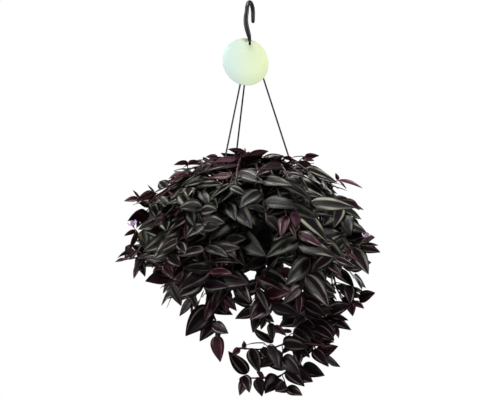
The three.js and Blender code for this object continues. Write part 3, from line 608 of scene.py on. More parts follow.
@dataclass
class Leaf:
    """One blade: where it starts, how it stands and how large it is."""

    root: Array
    forward: Array
    normal: Array
    length: float
    width: float
    node: int
    sag: float
    fold: float
    rows: tuple[int, ...]
    sunk: float = LEAF.sunk

    def midrib(self) -> list[tuple[Array, Array, Array]]:
        """The midrib, which bends down as it sags.

        Returns:
            Place, way and face at even steps along it.
        """
        point, way, face = self.root.copy(), self.forward.copy(), self.normal.copy()
        frames = []
        for _ in range(LEAF.steps + 1):
            frames.append((point.copy(), way.copy(), face.copy()))
            point = point + way * (self.length / LEAF.steps)
            way = unit(way + DOWN * (self.sag / LEAF.steps))
            face = unit(face - way * dot(face, way))
        return frames

    def corners(self, extra: float = 0.0) -> Array:
        """The corners of the solid blade.

        Args:
            extra: how much larger it is made all round.

        Returns:
            The corners.
        """
        frames = self.midrib()
        point, way, face = frames[0]
        points = [point - way * self.sunk - face * 0.3]
        for row in self.rows:
            point, way, face = frames[row]
            half = self.width * half_width(row / LEAF.steps) + extra
            across = cross(face, way)
            for side in (1, -1):
                points.append(point + across * (side * half) + face * (half * math.tan(self.fold)))
            thick = LEAF.thickness * (1.3 if row == self.rows[0] else 1 - 0.5 * row / LEAF.steps)
            points.append(point - face * (thick + extra))
            if row != self.rows[0]:
                points.append(point + face * extra)
        point, way, face = frames[LEAF.steps]
        points.append(point + way * extra)
        return np.array(points)

    def body(self, owner: int, extra: float) -> Body:
        """The blade as a body to keep clear of."""
        triangles, pairs = blade_faces(len(self.rows))
        return Body(self.corners(extra), triangles, owner, pairs)

    def free_part(self) -> Body:
        """The blade without the faces that run into its stem."""
        triangles, _ = blade_faces(len(self.rows))
        return Body(self.corners(), triangles[(triangles != 0).all(1)], 0)


def half_width(t: float) -> float:
    """Half the width of a blade of width one, a share of the way along it."""
    return 0.5 * LEAF.width_scale * t ** LEAF.base_power * (1 - t) ** LEAF.tip_power


@lru_cache(maxsize=None)
def blade_faces(rows: int) -> tuple[Array, Array]:
    """The faces of a solid blade.

    Args:
        rows: how many rows of corners it has.

    Returns:
        Its triangles and its edges, as corner numbers.
    """
    last = rows - 1

    def left(i: int) -> int:
        """The left margin's corner in a row."""
        return 4 * i if i else 1

    faces = [(0, left(0) + 1, left(0)), (0, left(0), left(0) + 2), (0, left(0) + 2, left(0) + 1)]
    top = left(1) + 3
    faces += [(left(0), left(0) + 1, top), (left(0), top, left(1)), (left(0) + 1, left(1) + 1, top)]
    for i in range(last):
        a, b = left(i), left(i + 1)
        faces += [(a, b, b + 2), (a, b + 2, a + 2), (a + 1, b + 2, b + 1), (a + 1, a + 2, b + 2)]
        if i:
            faces += [(a, b + 3, b), (a, a + 3, b + 3), (a + 1, b + 1, b + 3), (a + 1, b + 3, a + 3)]
    tip, a = left(last) + 4, left(last)
    faces += [(a, tip, a + 2), (a + 1, a + 2, tip), (a, a + 3, tip), (a + 1, tip, a + 3)]
    triangles = np.array(faces)
    return triangles, edge_pairs(triangles)


class Stem:
    """A stem along its points: the spots of its leaves from the tip back, and where its tube bends."""

    sway = GROWTH.sway

    def __init__(self, led: Led, through: Sequence[Array], index: int) -> None:
        """Runs the stem through its points.

        Args:
            led: how it grows.
            through: its points from the soil to the tip.
            index: its number, which seeds its leaves.
        """
        self.name, self.index, self.bearing = led.name, index, led.soil[1]
        self.leaf_length, self.leaf_ratio, self.leafy_below = led.leaf, led.ratio, led.leafy_below
        self.flower, self.bold = led.flower, led.bold
        self.aims = {node: (vec(x, *(y or [GROWTH.aim_y]), z), long) for node, x, z, long, *y in led.aims}
        self.path = Path(through)
        self.leaves: list[Leaf] = []
        self.spots: list[float] = []
        at, gap = (3.0 if led.flower else 1.6), 0
        while at < self.path.length - STEM.bare_foot:
            self.spots.append(at)
            at += led.leaf * min(GROWTH.first_gap + GROWTH.gap_step * gap, GROWTH.full_gap)
            gap += 1
        crest = [self.path.length - distance for distance in STEM.crest_rings]
        between = [(a + b) / 2 for a, b in zip(self.spots, self.spots[1:])]
        between = [at for at in between if at < crest[0] - 6]
        self.stops = [0.0]
        for i, at in enumerate(between):
            here = self.path.from_tip(at)
            after = self.path.from_tip(self.stops[-1])
            before = self.path.from_tip(between[i + 1] if i + 1 < len(between) else crest[0])
            chord = before - after
            share = held(dot(here - after, chord) / dot(chord, chord))
            bend = after + chord * share - here
            if math.sqrt(dot(bend, bend)) > STEM.straight:
                self.stops.append(at)
        self.stops += crest
        self.line = [self.path.from_tip(at) for at in self.stops]
        self.foot = self.path.samples[-1].copy()
        self.foot[2] = POT.soil_top - STEM.buried
        self.body = self.tube(GROWTH.clearance)
        self.bare = self.tube()

    def radius(self, at: float) -> float:
        """The stem's radius a distance back from its tip."""
        share = min(1.0, 1.6 * at / self.path.length)
        return STEM.tip_radius + (STEM.base_radius - STEM.tip_radius) * share

    def tube(self, extra: float = 0.0) -> Body:
        """The stem's own tube.

        Args:
            extra: how much thicker it is made.

        Returns:
            Its body.
        """
        points = [self.foot, *self.line[::-1]]
        radii = [self.radius(at) + extra for at in [*self.stops, self.path.length]][::-1]
        return Body(tube_points(points, radii, STEM.sides), ring_faces(len(points), STEM.sides), self.index)

    def node_on(self, node: int) -> tuple[Array, Array]:
        """Where a leaf grows.

        Args:
            node: its number, counted back from the tip.

        Returns:
            Its place on the stem, and the way the stem grows there.
        """
        at = self.spots[node]
        i = next(k for k, stop in enumerate(self.stops) if stop > at) - 1
        share = (at - self.stops[i]) / (self.stops[i + 1] - self.stops[i])
        after, before = self.line[i], self.line[i + 1]
        return after + (before - after) * share, unit(after - before)

    def light_at(self, point: Array) -> Array:
        """The way to the light: out from the pot, a little to the front, and up where the point is high.

        Args:
            point: where it is looked for.

        Returns:
            The direction.
        """
        out = vec(point[0], point[1], 0)
        if math.sqrt(dot(out, out)) < GROWTH.middle:
            out = around(GROWTH.middle, self.bearing, 0)
        rise = held((point[2] + 320) / 140)
        return unit(unit(out) + UP * (0.2 + 1.1 * rise) + vec(0, -GROWTH.front, 0))

    def leaf_try(self, node: int, draw: Draw, attempt: int) -> Leaf:
        """One try at the leaf of a node.

        Args:
            node: its number, counted back from the tip.
            draw: the row of numbers that it is drawn from.
            attempt: how many tries came before.

        Returns:
            The leaf.
        """
        point, way = self.node_on(node)
        loose = attempt / GROWTH.tries
        light = self.light_at(point)
        sway = self.sway * (1 + loose)
        light = light + vec(draw(-sway, sway), draw(-sway, sway), draw(-sway, sway))
        light = unit(light - way * dot(light, way))
        side = cross(way, light) * (1 if node % 2 else -1)
        young = node < len(GROWTH.spreads)
        middle = GROWTH.spreads[node] if young and not self.bold else GROWTH.spread
        spread = draw(middle - 0.3 - 0.2 * loose, middle + 0.3 + 0.4 * loose)
        lift = draw(0.2 - 0.3 * loose, 0.5 + 0.3 * loose)
        forward = way * math.cos(spread) + side * math.sin(spread)
        forward = forward * math.cos(lift) + light * math.sin(lift)
        forward = unit(forward + DOWN * (draw(0.2, 1) * GROWTH.droop * math.hypot(way[0], way[1])))
        aim = self.aims.get(node)
        if aim:
            forward = unit(forward * (0.2 + 0.6 * loose) + unit(aim[0]))
        flat = unit(light - forward * dot(light, forward))
        roll = draw(-0.25 - 0.4 * loose, 0.25 + 0.4 * loose)
        normal = flat * math.cos(roll) + cross(forward, flat) * math.sin(roll)
        sizes = GROWTH.bold_sizes if self.bold else GROWTH.young_sizes
        size = sizes[node] if node < len(sizes) else 1.0
        shrink = 1 - 0.16 * (attempt // GROWTH.shrink_every)
        full = aim[1] if aim else self.leaf_length * size
        length = full * shrink * draw(0.9, 1.12)
        width = length * self.leaf_ratio * (0.82 + 0.18 * size) * draw(0.92, 1.08)
        sag, fold = draw(0.05, 0.65), draw(-0.05, 0.25)
        rows = LEAF.large_rows if length > LEAF.large_from else LEAF.small_rows
        return Leaf(point + light * GROWTH.seat, forward, normal, length, width, node, sag, fold, rows)


class Shoot(Stem):
    """A short side shoot with smaller leaves."""

    sway = SHOOT.sway

    def __init__(self, parent: Stem, through: Sequence[Array], leaf: float, seed: int) -> None:
        """Runs the shoot through its points.

        Args:
            parent: the stem that it grows from.
            through: its points from the stem to its tip.
            leaf: the length of its leaves.
            seed: the number that its leaves are drawn from.
        """
        self.name, self.bearing, self.leaf_length, self.leaf_ratio = parent.name, parent.bearing, leaf, SHOOT.ratio
        self.index, self.seed, self.flower, self.bold = parent.index, seed, False, True
        self.path = Path(through)
        self.foot = self.path.samples[-1]
        self.aims = {}
        self.leaves, self.spots = [], []
        at, gap = 1.2, 0
        while at < self.path.length - 5:
            self.spots.append(at)
            at += leaf * min(0.14 + 0.08 * gap, 0.36)
            gap += 1
        line = self.path.samples[::-4][::-1]
        radii = [SHOOT.radius + SHOOT.clearance] * len(line)
        self.body = Body(tube_points(line, radii, 3), ring_faces(len(line), 3), self.index)
        self.bare = self.body

    def radius(self, at: float) -> float:
        """The shoot's radius a distance back from its tip."""
        return SHOOT.radius * (0.75 + 0.25 * at / self.path.length)

    def node_on(self, node: int) -> tuple[Array, Array]:
        """The place of a leaf on the shoot, and the way the shoot grows there."""
        at = self.spots[node]
        return self.path.from_tip(at), unit(self.path.from_tip(max(at - 1, 0)) - self.path.from_tip(at + 1))


class YoungTip(Shoot):
    """A side shoot with the narrow young leaves of a sprig."""

    def __init__(self, parent: Stem, sprig: Sprig, seed: int) -> None:
        """Runs the tip from its stem.

        Args:
            parent: the stem that it grows from.
            sprig: where it goes.
            seed: the number that its leaves are drawn from.
        """
        start, end = parent.path.from_tip(sprig.at), vec(*sprig.tip)
        super().__init__(parent, [start, (start + end) / 2 + UP, end], 20.0, seed)
        self.leaf_ratio = SHOOT.young_ratio
        self.aims = {number: (vec(*way), long) for number, (*way, long) in enumerate(sprig.leaves)}
        self.spots = [SHOOT.young_first + SHOOT.young_gap * number for number in range(len(sprig.leaves))]

    def light_at(self, point: Array) -> Array:
        """The way to the light, which for the tips at the outline comes more from the front."""
        return unit(super().light_at(point) * 0.5 + vec(0, -0.9, 0.25))


def over_dome(corners: Array, dome: object) -> bool:
    """Whether any corner is above the plant's dome, which is given by how slowly it falls."""
    return bool((corners[:, 2] > GROWTH.ceiling - (corners[:, 0] ** 2 + corners[:, 1] ** 2) / dome).any())


class Bush:
    """The whole plant: stems first, then leaves from the tips back, each turned until it touches nothing."""

    def __init__(self) -> None:
        """Starts from the pot and the strands, which the plant keeps clear of."""
        self.crowd = Crowd()
        self.crowd.add(self.pot_keep_out())
        for bearing in HANGER.strand_bearings:
            ends = strand_ends(bearing)
            corners = tube_points(ends, [HANGER.strand + 1] * 2, 4)
            self.crowd.add(Body(corners, ring_faces(2, 4), STRAND_BODY))
        self.stems: list[Stem] = []
        self.shoots: list[Shoot] = []
        self.kept_open: list[Array] = []
        self.low = self.high = vec(0, 0, 0)

    @staticmethod
    def pot_keep_out() -> Body:
        """What leaves keep clear of round the pot and its rim.

        Returns:
            Its body.
        """
        base, sides = POT.rim_top - POT.height, 16
        profile = (
            (0, base - 2), (POT.base_radius + 2.5, base - 2),
            (POT.neck_radius + 3, POT.rim_top - POT.rim_depth - 3),
            (POT.rim_radius + 2.5, POT.rim_top - POT.rim_depth - 2),
            (POT.rim_radius + 2.5, POT.rim_top + 2), (0, POT.rim_top + 2),
        )
        corners = np.array([around(r, 360 * k / sides, z) for r, z in profile for k in range(sides)])
        return Body(corners, ring_faces(len(profile), sides, capped=False), POT_BODY)

    @staticmethod
    def inside_pot(point: Array) -> bool:
        """Whether a point is in the pot or against it."""
        low, high = POT.rim_top - POT.height - 2, POT.rim_top + 2
        return low < point[2] < high and math.hypot(point[0], point[1]) < POT.rim_radius + 2.5

    @staticmethod
    def habit_stem(habit: Habit, number: int, attempt: int, index: int) -> Stem:
        """One try at a stem of a ring.

        Args:
            habit: the ring that it belongs to.
            number: its place in the ring.
            attempt: how many tries came before.
            index: its number in the plant.

        Returns:
            The stem.
        """
        draw = Draw(900 + 31 * index + 7 * attempt)
        bearing = habit.first + habit.span * (number + draw(-0.2, 0.2)) / habit.count
        drift, rise, stretch = draw(-14, 14), draw(-10, 12), draw(0.94, 1.08)
        through = [around(habit.soil + draw(-2, 2), bearing, POT.soil_top + STEM.collar)]
        for i, (radius, z) in enumerate(habit.via):
            share = (i + 1) / len(habit.via)
            out = radius * (1 + (stretch - 1) * share) + draw(-3, 3) * share
            through.append(around(out, bearing + drift * share + draw(-3, 3) * share, z + rise * share))
        led = Led(f"{habit.name}_{number + 1}", (habit.soil, bearing), habit.leaf, habit.ratio, ())
        return Stem(led, through, index)

    def grow_stems(self) -> None:
        """Runs the led stems, then the rings of stems where there is room."""
        for index, led in enumerate(LED_STEMS):
            collar = around(*led.soil, POT.soil_top + STEM.collar)
            self.stems.append(Stem(led, [collar, *(vec(*point) for point in led.via)], index))
        for stem in self.stems:
            self.crowd.add(stem.body)
        for habit in HABITS:
            for number in range(habit.count):
                index = len(self.stems)
                for attempt in range(STEM.tries):
                    stem = self.habit_stem(habit, number, attempt, index)
                    if self.crowd.meets(stem.body, lambda other: other.owner == POT_BODY):
                        continue
                    self.stems.append(stem)
                    self.crowd.add(stem.body)
                    break

    def grow_leaves(self) -> None:
        """Places the blades, node by node from the tips."""
        for stem in self.stems:
            if stem.flower:
                for part in flower_bodies(stem, GROWTH.clearance):
                    self.crowd.add(part)
        for node in range(max(len(stem.spots) for stem in self.stems)):
            for stem in self.stems:
                if node >= len(stem.spots):
                    continue
                point, _ = stem.node_on(node)
                if self.inside_pot(point) or point[2] > stem.leafy_below:
                    continue
                seed = 17 + 131 * stem.index + node
                self.place_leaf(stem, node, seed, range(GROWTH.tries), GROWTH.clearance, stem, self.leaf_fits)

    @staticmethod
    def leaf_fits(stem: Stem, leaf: Leaf, corners: Array) -> bool:
        """Whether a blade stays under the plant's dome and off its own stem, but for its foot.

        Args:
            stem: the stem that it grows on.
            leaf: the blade.
            corners: its corners.

        Returns:
            True where it does.
        """
        if over_dome(corners, GROWTH.dome):
            return False
        free = leaf.free_part()
        return not (pierces(free.edges, stem.bare.faces) or pierces(stem.bare.edges, free.faces))

    def place_leaf(
        self, stem: Stem, node: int, seed: int, attempts: Sequence[int], clearance: float, holder: Stem,
        fits: Callable[[Stem, Leaf, Array], bool],
    ) -> None:
        """Places the first try at a leaf that touches nothing, where there is one.

        Args:
            stem: the stem or the shoot that it grows on.
            node: its number, counted back from the tip.
            seed: the number that it is drawn from.
            attempts: the numbers of the tries.
            clearance: how far it stays off everything.
            holder: the stem that it may touch.
            fits: says of a stem, a leaf and its corners whether it may go there.
        """
        draw = Draw(seed)
        for attempt in attempts:
            leaf = stem.leaf_try(node, draw, attempt)
            body = leaf.body(stem.index, clearance)
            if fits(stem, leaf, body.points) and not self.crowd.meets(body, lambda other: other is holder.body):
                stem.leaves.append(leaf)
                self.crowd.add(body)
                return

    def grow_sprigs(self) -> None:
        """Adds the young tips that stand out from the outline."""
        for number, sprig in enumerate(SPRIGS):
            parent = next(stem for stem in self.stems if stem.name == sprig.stem)
            tip = YoungTip(parent, sprig, 90001 + 211 * number)
            for node in range(len(tip.spots)):
                self.place_leaf(
                    tip, node, tip.seed + 5 * node, range(SHOOT.young_tries), SHOOT.clearance, parent,
                    lambda stem, leaf, corners: self.in_reach(corners))
            if tip.leaves:
                self.shoots.append(tip)
                self.crowd.add(tip.body)

    def shoot_try(self, stem: Stem, at: float, draw: Draw, seed: int) -> Shoot:
        """One try at a side shoot.

        Args:
            stem: the stem that it grows from.
            at: how far back from the stem's tip it starts.
            draw: the row of numbers that it is drawn from.
            seed: the number that its leaves are drawn from.

        Returns:
            The shoot.
        """
        point = stem.path.from_tip(at)
        way = unit(stem.path.from_tip(at - 1) - stem.path.from_tip(at + 1))
        light = stem.light_at(point)
        side = cross(way, light) * draw(-1.2, 1.2)
        forward = unit(way * draw(0.1, 0.8) + light * draw(0.2, 1.1) + side + DOWN * draw(0.0, 0.5))
        reach = draw(*(SHOOT.trail_reach if point[2] < SHOOT.skirt else SHOOT.reach))
        middle = point + forward * (reach * 0.5)
        end = middle + unit(forward + DOWN * draw(0.3, 1.0)) * (reach * 0.5)
        return Shoot(stem, [point, middle, end], draw(*SHOOT.leaf), seed)

    def grow_shoots(self) -> None:
        """Adds side shoots with smaller leaves wherever there is room for them."""
        self.kept_open = [stem.path.from_tip(at) for stem in self.stems if stem.flower for at in SHOOT.open_stalk]
        for stem in self.stems:
            at, number = SHOOT.trail_first if stem.name.startswith("trail_low") else SHOOT.first, 0
            while at < stem.path.length - STEM.bare_foot:
                seed = 7001 + 977 * stem.index + 13 * number
                draw = Draw(seed)
                point = stem.path.from_tip(at)
                if not self.inside_pot(point) and point[2] < stem.leafy_below:
                    for _ in range(SHOOT.shoot_tries):
                        shoot = self.shoot_try(stem, at, draw, seed)
                        if not self.has_room(stem, shoot.body.points):
                            continue
                        if not self.crowd.meets(shoot.body, lambda other: other is stem.body):
                            self.shoots.append(shoot)
                            self.crowd.add(shoot.body)
                            break
                at += (SHOOT.trail_every if point[2] < SHOOT.skirt else SHOOT.every) * draw(0.8, 1.2)
                number += 1
        for node in range(max(len(shoot.spots) for shoot in self.shoots)):
            for shoot in self.shoots:
                if node < len(shoot.spots) and not isinstance(shoot, YoungTip):
                    self.place_leaf(
                        shoot, node, shoot.seed + 5 * node, range(0, 2 * SHOOT.leaf_tries, 2), SHOOT.clearance,
                        shoot, self.small_leaf_fits)

    def small_leaf_fits(self, stem: Stem, leaf: Leaf, corners: Array) -> bool:
        """Whether a small leaf may go where its corners are.

        Args:
            stem: the shoot that it grows on.
            leaf: the leaf; not used.
            corners: its corners.

        Returns:
            True where it may.
        """
        domes = np.where(corners[:, 0] < 0, *SHOOT.domes)
        return self.has_room(stem, corners) and not over_dome(corners, domes)

    def has_room(self, stem: Stem, corners: Array) -> bool:
        """Whether corners stay in the box of the leaves, above the skirt and clear of the blooms.

        Args:
            stem: the stem that they grow from.
            corners: the corners.

        Returns:
            True where they do.
        """
        return self.in_reach(corners) and not self.hangs_low(stem, corners) and not self.hides_bloom(corners)

    @staticmethod
    def hangs_low(stem: Stem, points: Array) -> bool:
        """Whether corners hang below the skirt of the plant, where only the trailing stems go.

        Args:
            stem: the stem that they grow from.
            points: the corners.

        Returns:
            True where one does.
        """
        trails = stem.name.startswith(("trail", "left_low"))
        far = np.hypot(points[:, 0], points[:, 1]) > SHOOT.skirt_radius
        return not trails and bool((points[:, 2] < np.where(far, SHOOT.hem, SHOOT.skirt)).any())

    def hides_bloom(self, points: Array) -> bool:
        """Whether corners come in front of a bloom or its stalk, or close to them.

        Args:
            points: the corners.

        Returns:
            True where one does.
        """
        for spot in self.kept_open:
            near = np.hypot(points[:, 0] - spot[0], points[:, 2] - spot[2]) < SHOOT.bloom_room
            if (near & (points[:, 1] < spot[1] + SHOOT.bloom_room)).any():
                return True
        return False

    def in_reach(self, corners: Array) -> bool:
        """Whether corners stay in the box of the solid leaves."""
        return bool((corners >= self.low).all() and (corners <= self.high).all())

    def grow(self) -> list[Stem]:
        """Grows the plant.

        Returns:
            Its stems.
        """
        self.grow_stems()
        self.grow_leaves()
        LOG.info("grown: %d stems, %d leaves", len(self.stems), sum(len(s.leaves) for s in self.stems))
        points = np.concatenate([leaf.corners() for stem in self.stems for leaf in stem.leaves])
        self.low, self.high = points.min(0), points.max(0)
        self.grow_sprigs()
        self.grow_shoots()
        LOG.info("added: %d shoots, %d leaves", len(self.shoots), sum(len(s.leaves) for s in self.shoots))
        return self.stems


def strand_ends(bearing: float) -> list[Array]:
    """The two ends that the growth takes a strand to have."""
    lower = around(HANGER.anchor_circle, bearing, POT.rim_top - POT.lip)
    return [around(HANGER.hub_circle, bearing, HANGER.hub_top), lower]


@dataclass(frozen=True)
class Bloom:
    """Where a bloom sits on the tip of its stem."""

    foot: Array
    cup: Array
    rise: Array
    petals: tuple[Leaf, ...]


def bloom_of(stem: Stem) -> Bloom:
    """The bloom of a stem.

    Args:
        stem: the stem.

    Returns:
        Where the bloom sits on its tip.
    """
    samples = stem.path.samples
    way = unit(samples[0] - samples[2])
    rise = unit(way + UP * 0.9)
    foot = samples[0] + way * (FLOWER.gap + 0.1)
    cup = foot + rise * 3.2
    across = vec(1, 0.3, 0.1)
    across = unit(across - rise * dot(across, rise))
    third = cross(rise, across)
    opening = math.radians(FLOWER.opening)
    petals = []
    for i in range(FLOWER.petals):
        turn = 2 * math.pi * i / FLOWER.petals + 0.4
        out = across * math.cos(turn) + third * math.sin(turn)
        petals.append(Leaf(
            cup - rise * 0.9, rise * math.cos(opening) + out * math.sin(opening),
            rise * math.sin(opening) - out * math.cos(opening), FLOWER.length, FLOWER.width, 0, 0.2, 0.15,
            LEAF.small_rows, 0.3))
    return Bloom(foot, cup, rise, tuple(petals))


def flower_bodies(stem: Stem, extra: float) -> list[Body]:
    """What leaves keep clear of round a bloom.

    Args:
        stem: its stem.
        extra: how much larger it is made.

    Returns:
        The bodies of its cup and its petals.
    """
    bloom = bloom_of(stem)
    corners = tube_points([bloom.foot, bloom.cup], [1.1 + extra, FLOWER.bud_radius + extra], 4)
    cup = Body(corners, ring_faces(2, 4), BLOOM_BODY)
    return [cup, *(petal.body(BLOOM_BODY, extra) for petal in bloom.petals)]


class Slot(Enum):
    """The record's material slots."""

    FOLIAGE = "foliage"
    BLOOM = "bloom"
    POT = "pot_plastic"
    SOIL = "soil"
    HANGER = "hanger_plastic"
    TAG = "tag_card"


Socket = bpy.types.NodeSocket
FLOAT, COLOUR, VECTOR = "NodeSocketFloat", "NodeSocketColor", "NodeSocketVector"


def colour(*screen: int) -> tuple[float, ...]:
    """A screen colour as a shader takes it.

    Args:
        screen: its red, green and blue from 0 to 255.

    Returns:
        The linear colour.
    """
    shares = (value / 255 for value in screen)
    return *(share / 12.92 if share <= 0.04045 else ((share + 0.055) / 1.055) ** 2.4 for share in shares), 1.0


class Shader:
    """A small hand for wiring nodes in a material or a group."""

    def __init__(self, tree: bpy.types.NodeTree) -> None:
        """Works in a node tree."""
        self.tree = tree

    def node(self, kind: str, **settings: object) -> bpy.types.Node:
        """Adds a node.

        Args:
            kind: its type name.
            settings: its own properties.

        Returns:
            The node.
        """
        made = self.tree.nodes.new(kind)
        for key, value in settings.items():
            setattr(made, key, value)
        return made

    def feed(self, socket: Socket, value: object) -> None:
        """Links a socket to another, or sets its value.

        Args:
            socket: what is fed.
            value: another socket, or a plain value.
        """
        if isinstance(value, Socket):
            self.tree.links.new(value, socket)
        else:
            socket.default_value = value

    def math(self, operation: str, *values: object, clamp: bool = False) -> Socket:
        """A sum of numbers.

        Args:
            operation: what is done with them.
            values: the numbers or their sockets.
            clamp: whether the result is kept from 0 to 1.

        Returns:
            The result's socket.
        """
        made = self.node("ShaderNodeMath", operation=operation, use_clamp=clamp)
        for socket, value in zip(made.inputs, values):
            self.feed(socket, value)
        return made.outputs[0]

    def times(self, one: object, other: object) -> Socket:
        """The product of two numbers."""
        return self.math("MULTIPLY", one, other)

    def ramp(self, value: object, low: object, high: object, start: object = 0.0, end: object = 1.0) -> Socket:
        """A soft step between two values.

        Args:
            value: what is measured.
            low: where the step starts.
            high: where it ends.
            start: the result before it.
            end: the result after it.

        Returns:
            The result's socket.
        """
        made = self.node("ShaderNodeMapRange", interpolation_type="SMOOTHSTEP")
        names = ("Value", "From Min", "From Max", "To Min", "To Max")
        for name, given in zip(names, (value, low, high, start, end)):
            self.feed(made.inputs[name], given)
        return made.outputs["Result"]

    def mix(self, share: object, one: object, other: object) -> Socket:
        """A blend of two colours.

        Args:
            share: how much there is of the other.
            one: a colour.
            other: the other colour.

        Returns:
            The blend's socket.
        """
        made = self.node("ShaderNodeMix", data_type="RGBA")
        for index, given in ((0, share), (6, one), (7, other)):
            self.feed(made.inputs[index], given)
        return made.outputs[2]

    def noise(self, where: object, scale: float, detail: float = 2.0, roughness: float = 0.5) -> Socket:
        """Soft noise about 0.5.

        Args:
            where: the place that it is read at.
            scale: how fine it is.
            detail: how many finer layers it has.
            roughness: how strong they are.

        Returns:
            The value's socket.
        """
        made = self.node("ShaderNodeTexNoise")
        for name, given in (("Vector", where), ("Scale", scale), ("Detail", detail), ("Roughness", roughness)):
            self.feed(made.inputs[name], given)
        return made.outputs["Fac"]

    def apart(self, vector: object) -> tuple[Socket, Socket, Socket]:
        """Takes a vector apart.

        Args:
            vector: its socket.

        Returns:
            The sockets of its three parts.
        """
        made = self.node("ShaderNodeSeparateXYZ")
        self.feed(made.inputs[0], vector)
        return made.outputs[0], made.outputs[1], made.outputs[2]

    def together(self, *parts: object) -> Socket:
        """A vector from its parts.

        Args:
            parts: numbers or their sockets.

        Returns:
            The vector's socket.
        """
        made = self.node("ShaderNodeCombineXYZ")
        for socket, part in zip(made.inputs, parts):
            self.feed(socket, part)
        return made.outputs[0]

    def group(self, tree: bpy.types.NodeTree, **given: object) -> bpy.types.Node:
        """Places a shader group.

        Args:
            tree: the group.
            given: its inputs by name.

        Returns:
            The node.
        """
        made = self.node("ShaderNodeGroup", node_tree=tree)
        for name, value in given.items():
            self.feed(made.inputs[name], value)
        return made


def new_group(
    name: str, inputs: Sequence[tuple[str, str]], outputs: Sequence[tuple[str, str]],
) -> tuple[bpy.types.NodeTree, Shader, bpy.types.Node, bpy.types.Node]:
    """Starts a shader group.

    Args:
        name: its name.
        inputs: name and socket type of each input.
        outputs: name and socket type of each output.

    Returns:
        The tree, a hand to wire it, and its input and output nodes.
    """
    tree = bpy.data.node_groups.new(name, "ShaderNodeTree")
    for way, sockets in (("INPUT", inputs), ("OUTPUT", outputs)):
        for label, kind in sockets:
            tree.interface.new_socket(name=label, in_out=way, socket_type=kind)
    hand = Shader(tree)
    return tree, hand, hand.node("NodeGroupInput"), hand.node("NodeGroupOutput")


@dataclass(frozen=True)
class BandColours:
    """The colours across a leaf's upper face."""

    margin: tuple[float, ...]
    band: tuple[float, ...]
    centre: tuple[float, ...]
    rib: tuple[float, ...]


GREEN_LEAF = BandColours(colour(10, 13, 9), colour(180, 184, 160), colour(30, 22, 31), colour(5, 5, 5))
WARM_LEAF = BandColours(colour(23, 11, 15), colour(172, 152, 150), colour(40, 21, 31), colour(12, 5, 8))
YOUNG_LEAF = BandColours(colour(60, 20, 31), colour(186, 146, 146), colour(70, 32, 46), colour(38, 12, 19))
# The near-black that leaves are drawn towards: painted shade near the plant's heart, with some random dark tone.
PAINTED_SHADE_AND_DARK_TONE = colour(8, 9, 9)


def band_group() -> bpy.types.NodeTree:
    """The silver bands of a leaf: dark margins, a pale band on each half and a dusky centre, darkened by painted
    shade.

    Returns:
        The group.
    """
    tree, hand, given, put = new_group(
        "Leaf bands",
        (("UV", VECTOR), ("Tint", FLOAT), ("Youth", FLOAT), ("Warmth", FLOAT), ("Depth", FLOAT)),
        (("Color", COLOUR), ("Silver", FLOAT), ("Height", FLOAT)),
    )
    tint, youth, warmth = (given.outputs[name] for name in ("Tint", "Youth", "Warmth"))
    u, along, _ = hand.apart(given.outputs["UV"])
    doubled = hand.math("MULTIPLY_ADD", u, 2.0, -1.0)
    side = hand.math("ABSOLUTE", doubled)
    depth = hand.times(tint, 37.0)
    length = hand.times(along, 1.8)
    fine = hand.noise(hand.together(hand.times(doubled, 22.0), length, depth), 1.0, 3.0, 0.6)
    slow = hand.noise(hand.together(hand.times(doubled, 1.6), length, depth), 1.0)
    middle = hand.math("MULTIPLY_ADD", slow, 0.2, hand.math("MULTIPLY_ADD", tint, 0.1, 0.43))
    wide = hand.ramp(warmth, 0.2, 0.9, 0.24, 0.12)
    width = hand.times(hand.ramp(along, 0.0, 0.3, 0.5, 1.0), hand.times(wide, hand.ramp(along, 0.55, 1.0, 1.0, 0.5)))
    gap = hand.math("DIVIDE", hand.math("ABSOLUTE", hand.math("SUBTRACT", side, middle)), width)
    jagged = hand.math("MULTIPLY_ADD", hand.math("SUBTRACT", fine, 0.5), 1.1, gap)
    band = hand.ramp(jagged, 0.4, 1.05, 1.0, 0.0)
    faded = hand.noise(hand.together(hand.times(doubled, 1.1), hand.times(along, 2.6), depth), 1.0, 1.0)
    strength = hand.times(band, hand.times(hand.ramp(tint, 0.0, 1.0, 0.5, 1.0), hand.ramp(faded, 0.36, 0.6, 0.1, 1.0)))
    shades = []
    for part in ("margin", "centre", "band", "rib"):
        grown = hand.mix(warmth, getattr(GREEN_LEAF, part), getattr(WARM_LEAF, part))
        shades.append(hand.mix(youth, grown, getattr(YOUNG_LEAF, part)))
    margin, centre, silver, dark = shades
    dusky = hand.mix(hand.ramp(side, 0.2, 0.55, 0.85, 0.0), margin, centre)
    rib = hand.ramp(side, 0.02, 0.09, 0.8, 0.0)
    ribbed = hand.mix(rib, hand.mix(strength, dusky, silver), dark)
    mottled = hand.mix(hand.ramp(slow, 0.35, 0.8, 0.0, 0.4), ribbed, margin)
    # Painted shade with some random dark tone: the leaf is drawn towards near-black by the stored amount.
    hand.feed(put.inputs["Color"], hand.mix(given.outputs["Depth"], mottled, PAINTED_SHADE_AND_DARK_TONE))
    hand.feed(put.inputs["Silver"], strength)
    hand.feed(put.inputs["Height"], hand.math("SUBTRACT", fine, rib))
    return tree


def vein_group() -> bpy.types.NodeTree:
    """Fine lengthwise lines and slow mottling, for undersides, stems and petals.

    Returns:
        The group.
    """
    tree, hand, given, put = new_group(
        "Fine veins",
        (("UV", VECTOR), ("Tint", FLOAT), ("Count", FLOAT)),
        (("Lines", FLOAT), ("Mottle", FLOAT)),
    )
    u, along, _ = hand.apart(given.outputs["UV"])
    depth = hand.times(given.outputs["Tint"], 53.0)
    fine = hand.together(hand.times(u, given.outputs["Count"]), hand.times(along, 2.0), depth)
    hand.feed(put.inputs["Lines"], hand.noise(fine, 1.0, 2.0, 0.6))
    broad = hand.together(hand.times(u, 3.0), hand.times(along, 2.5), depth)
    hand.feed(put.inputs["Mottle"], hand.noise(broad, 1.0, 3.0))
    return tree


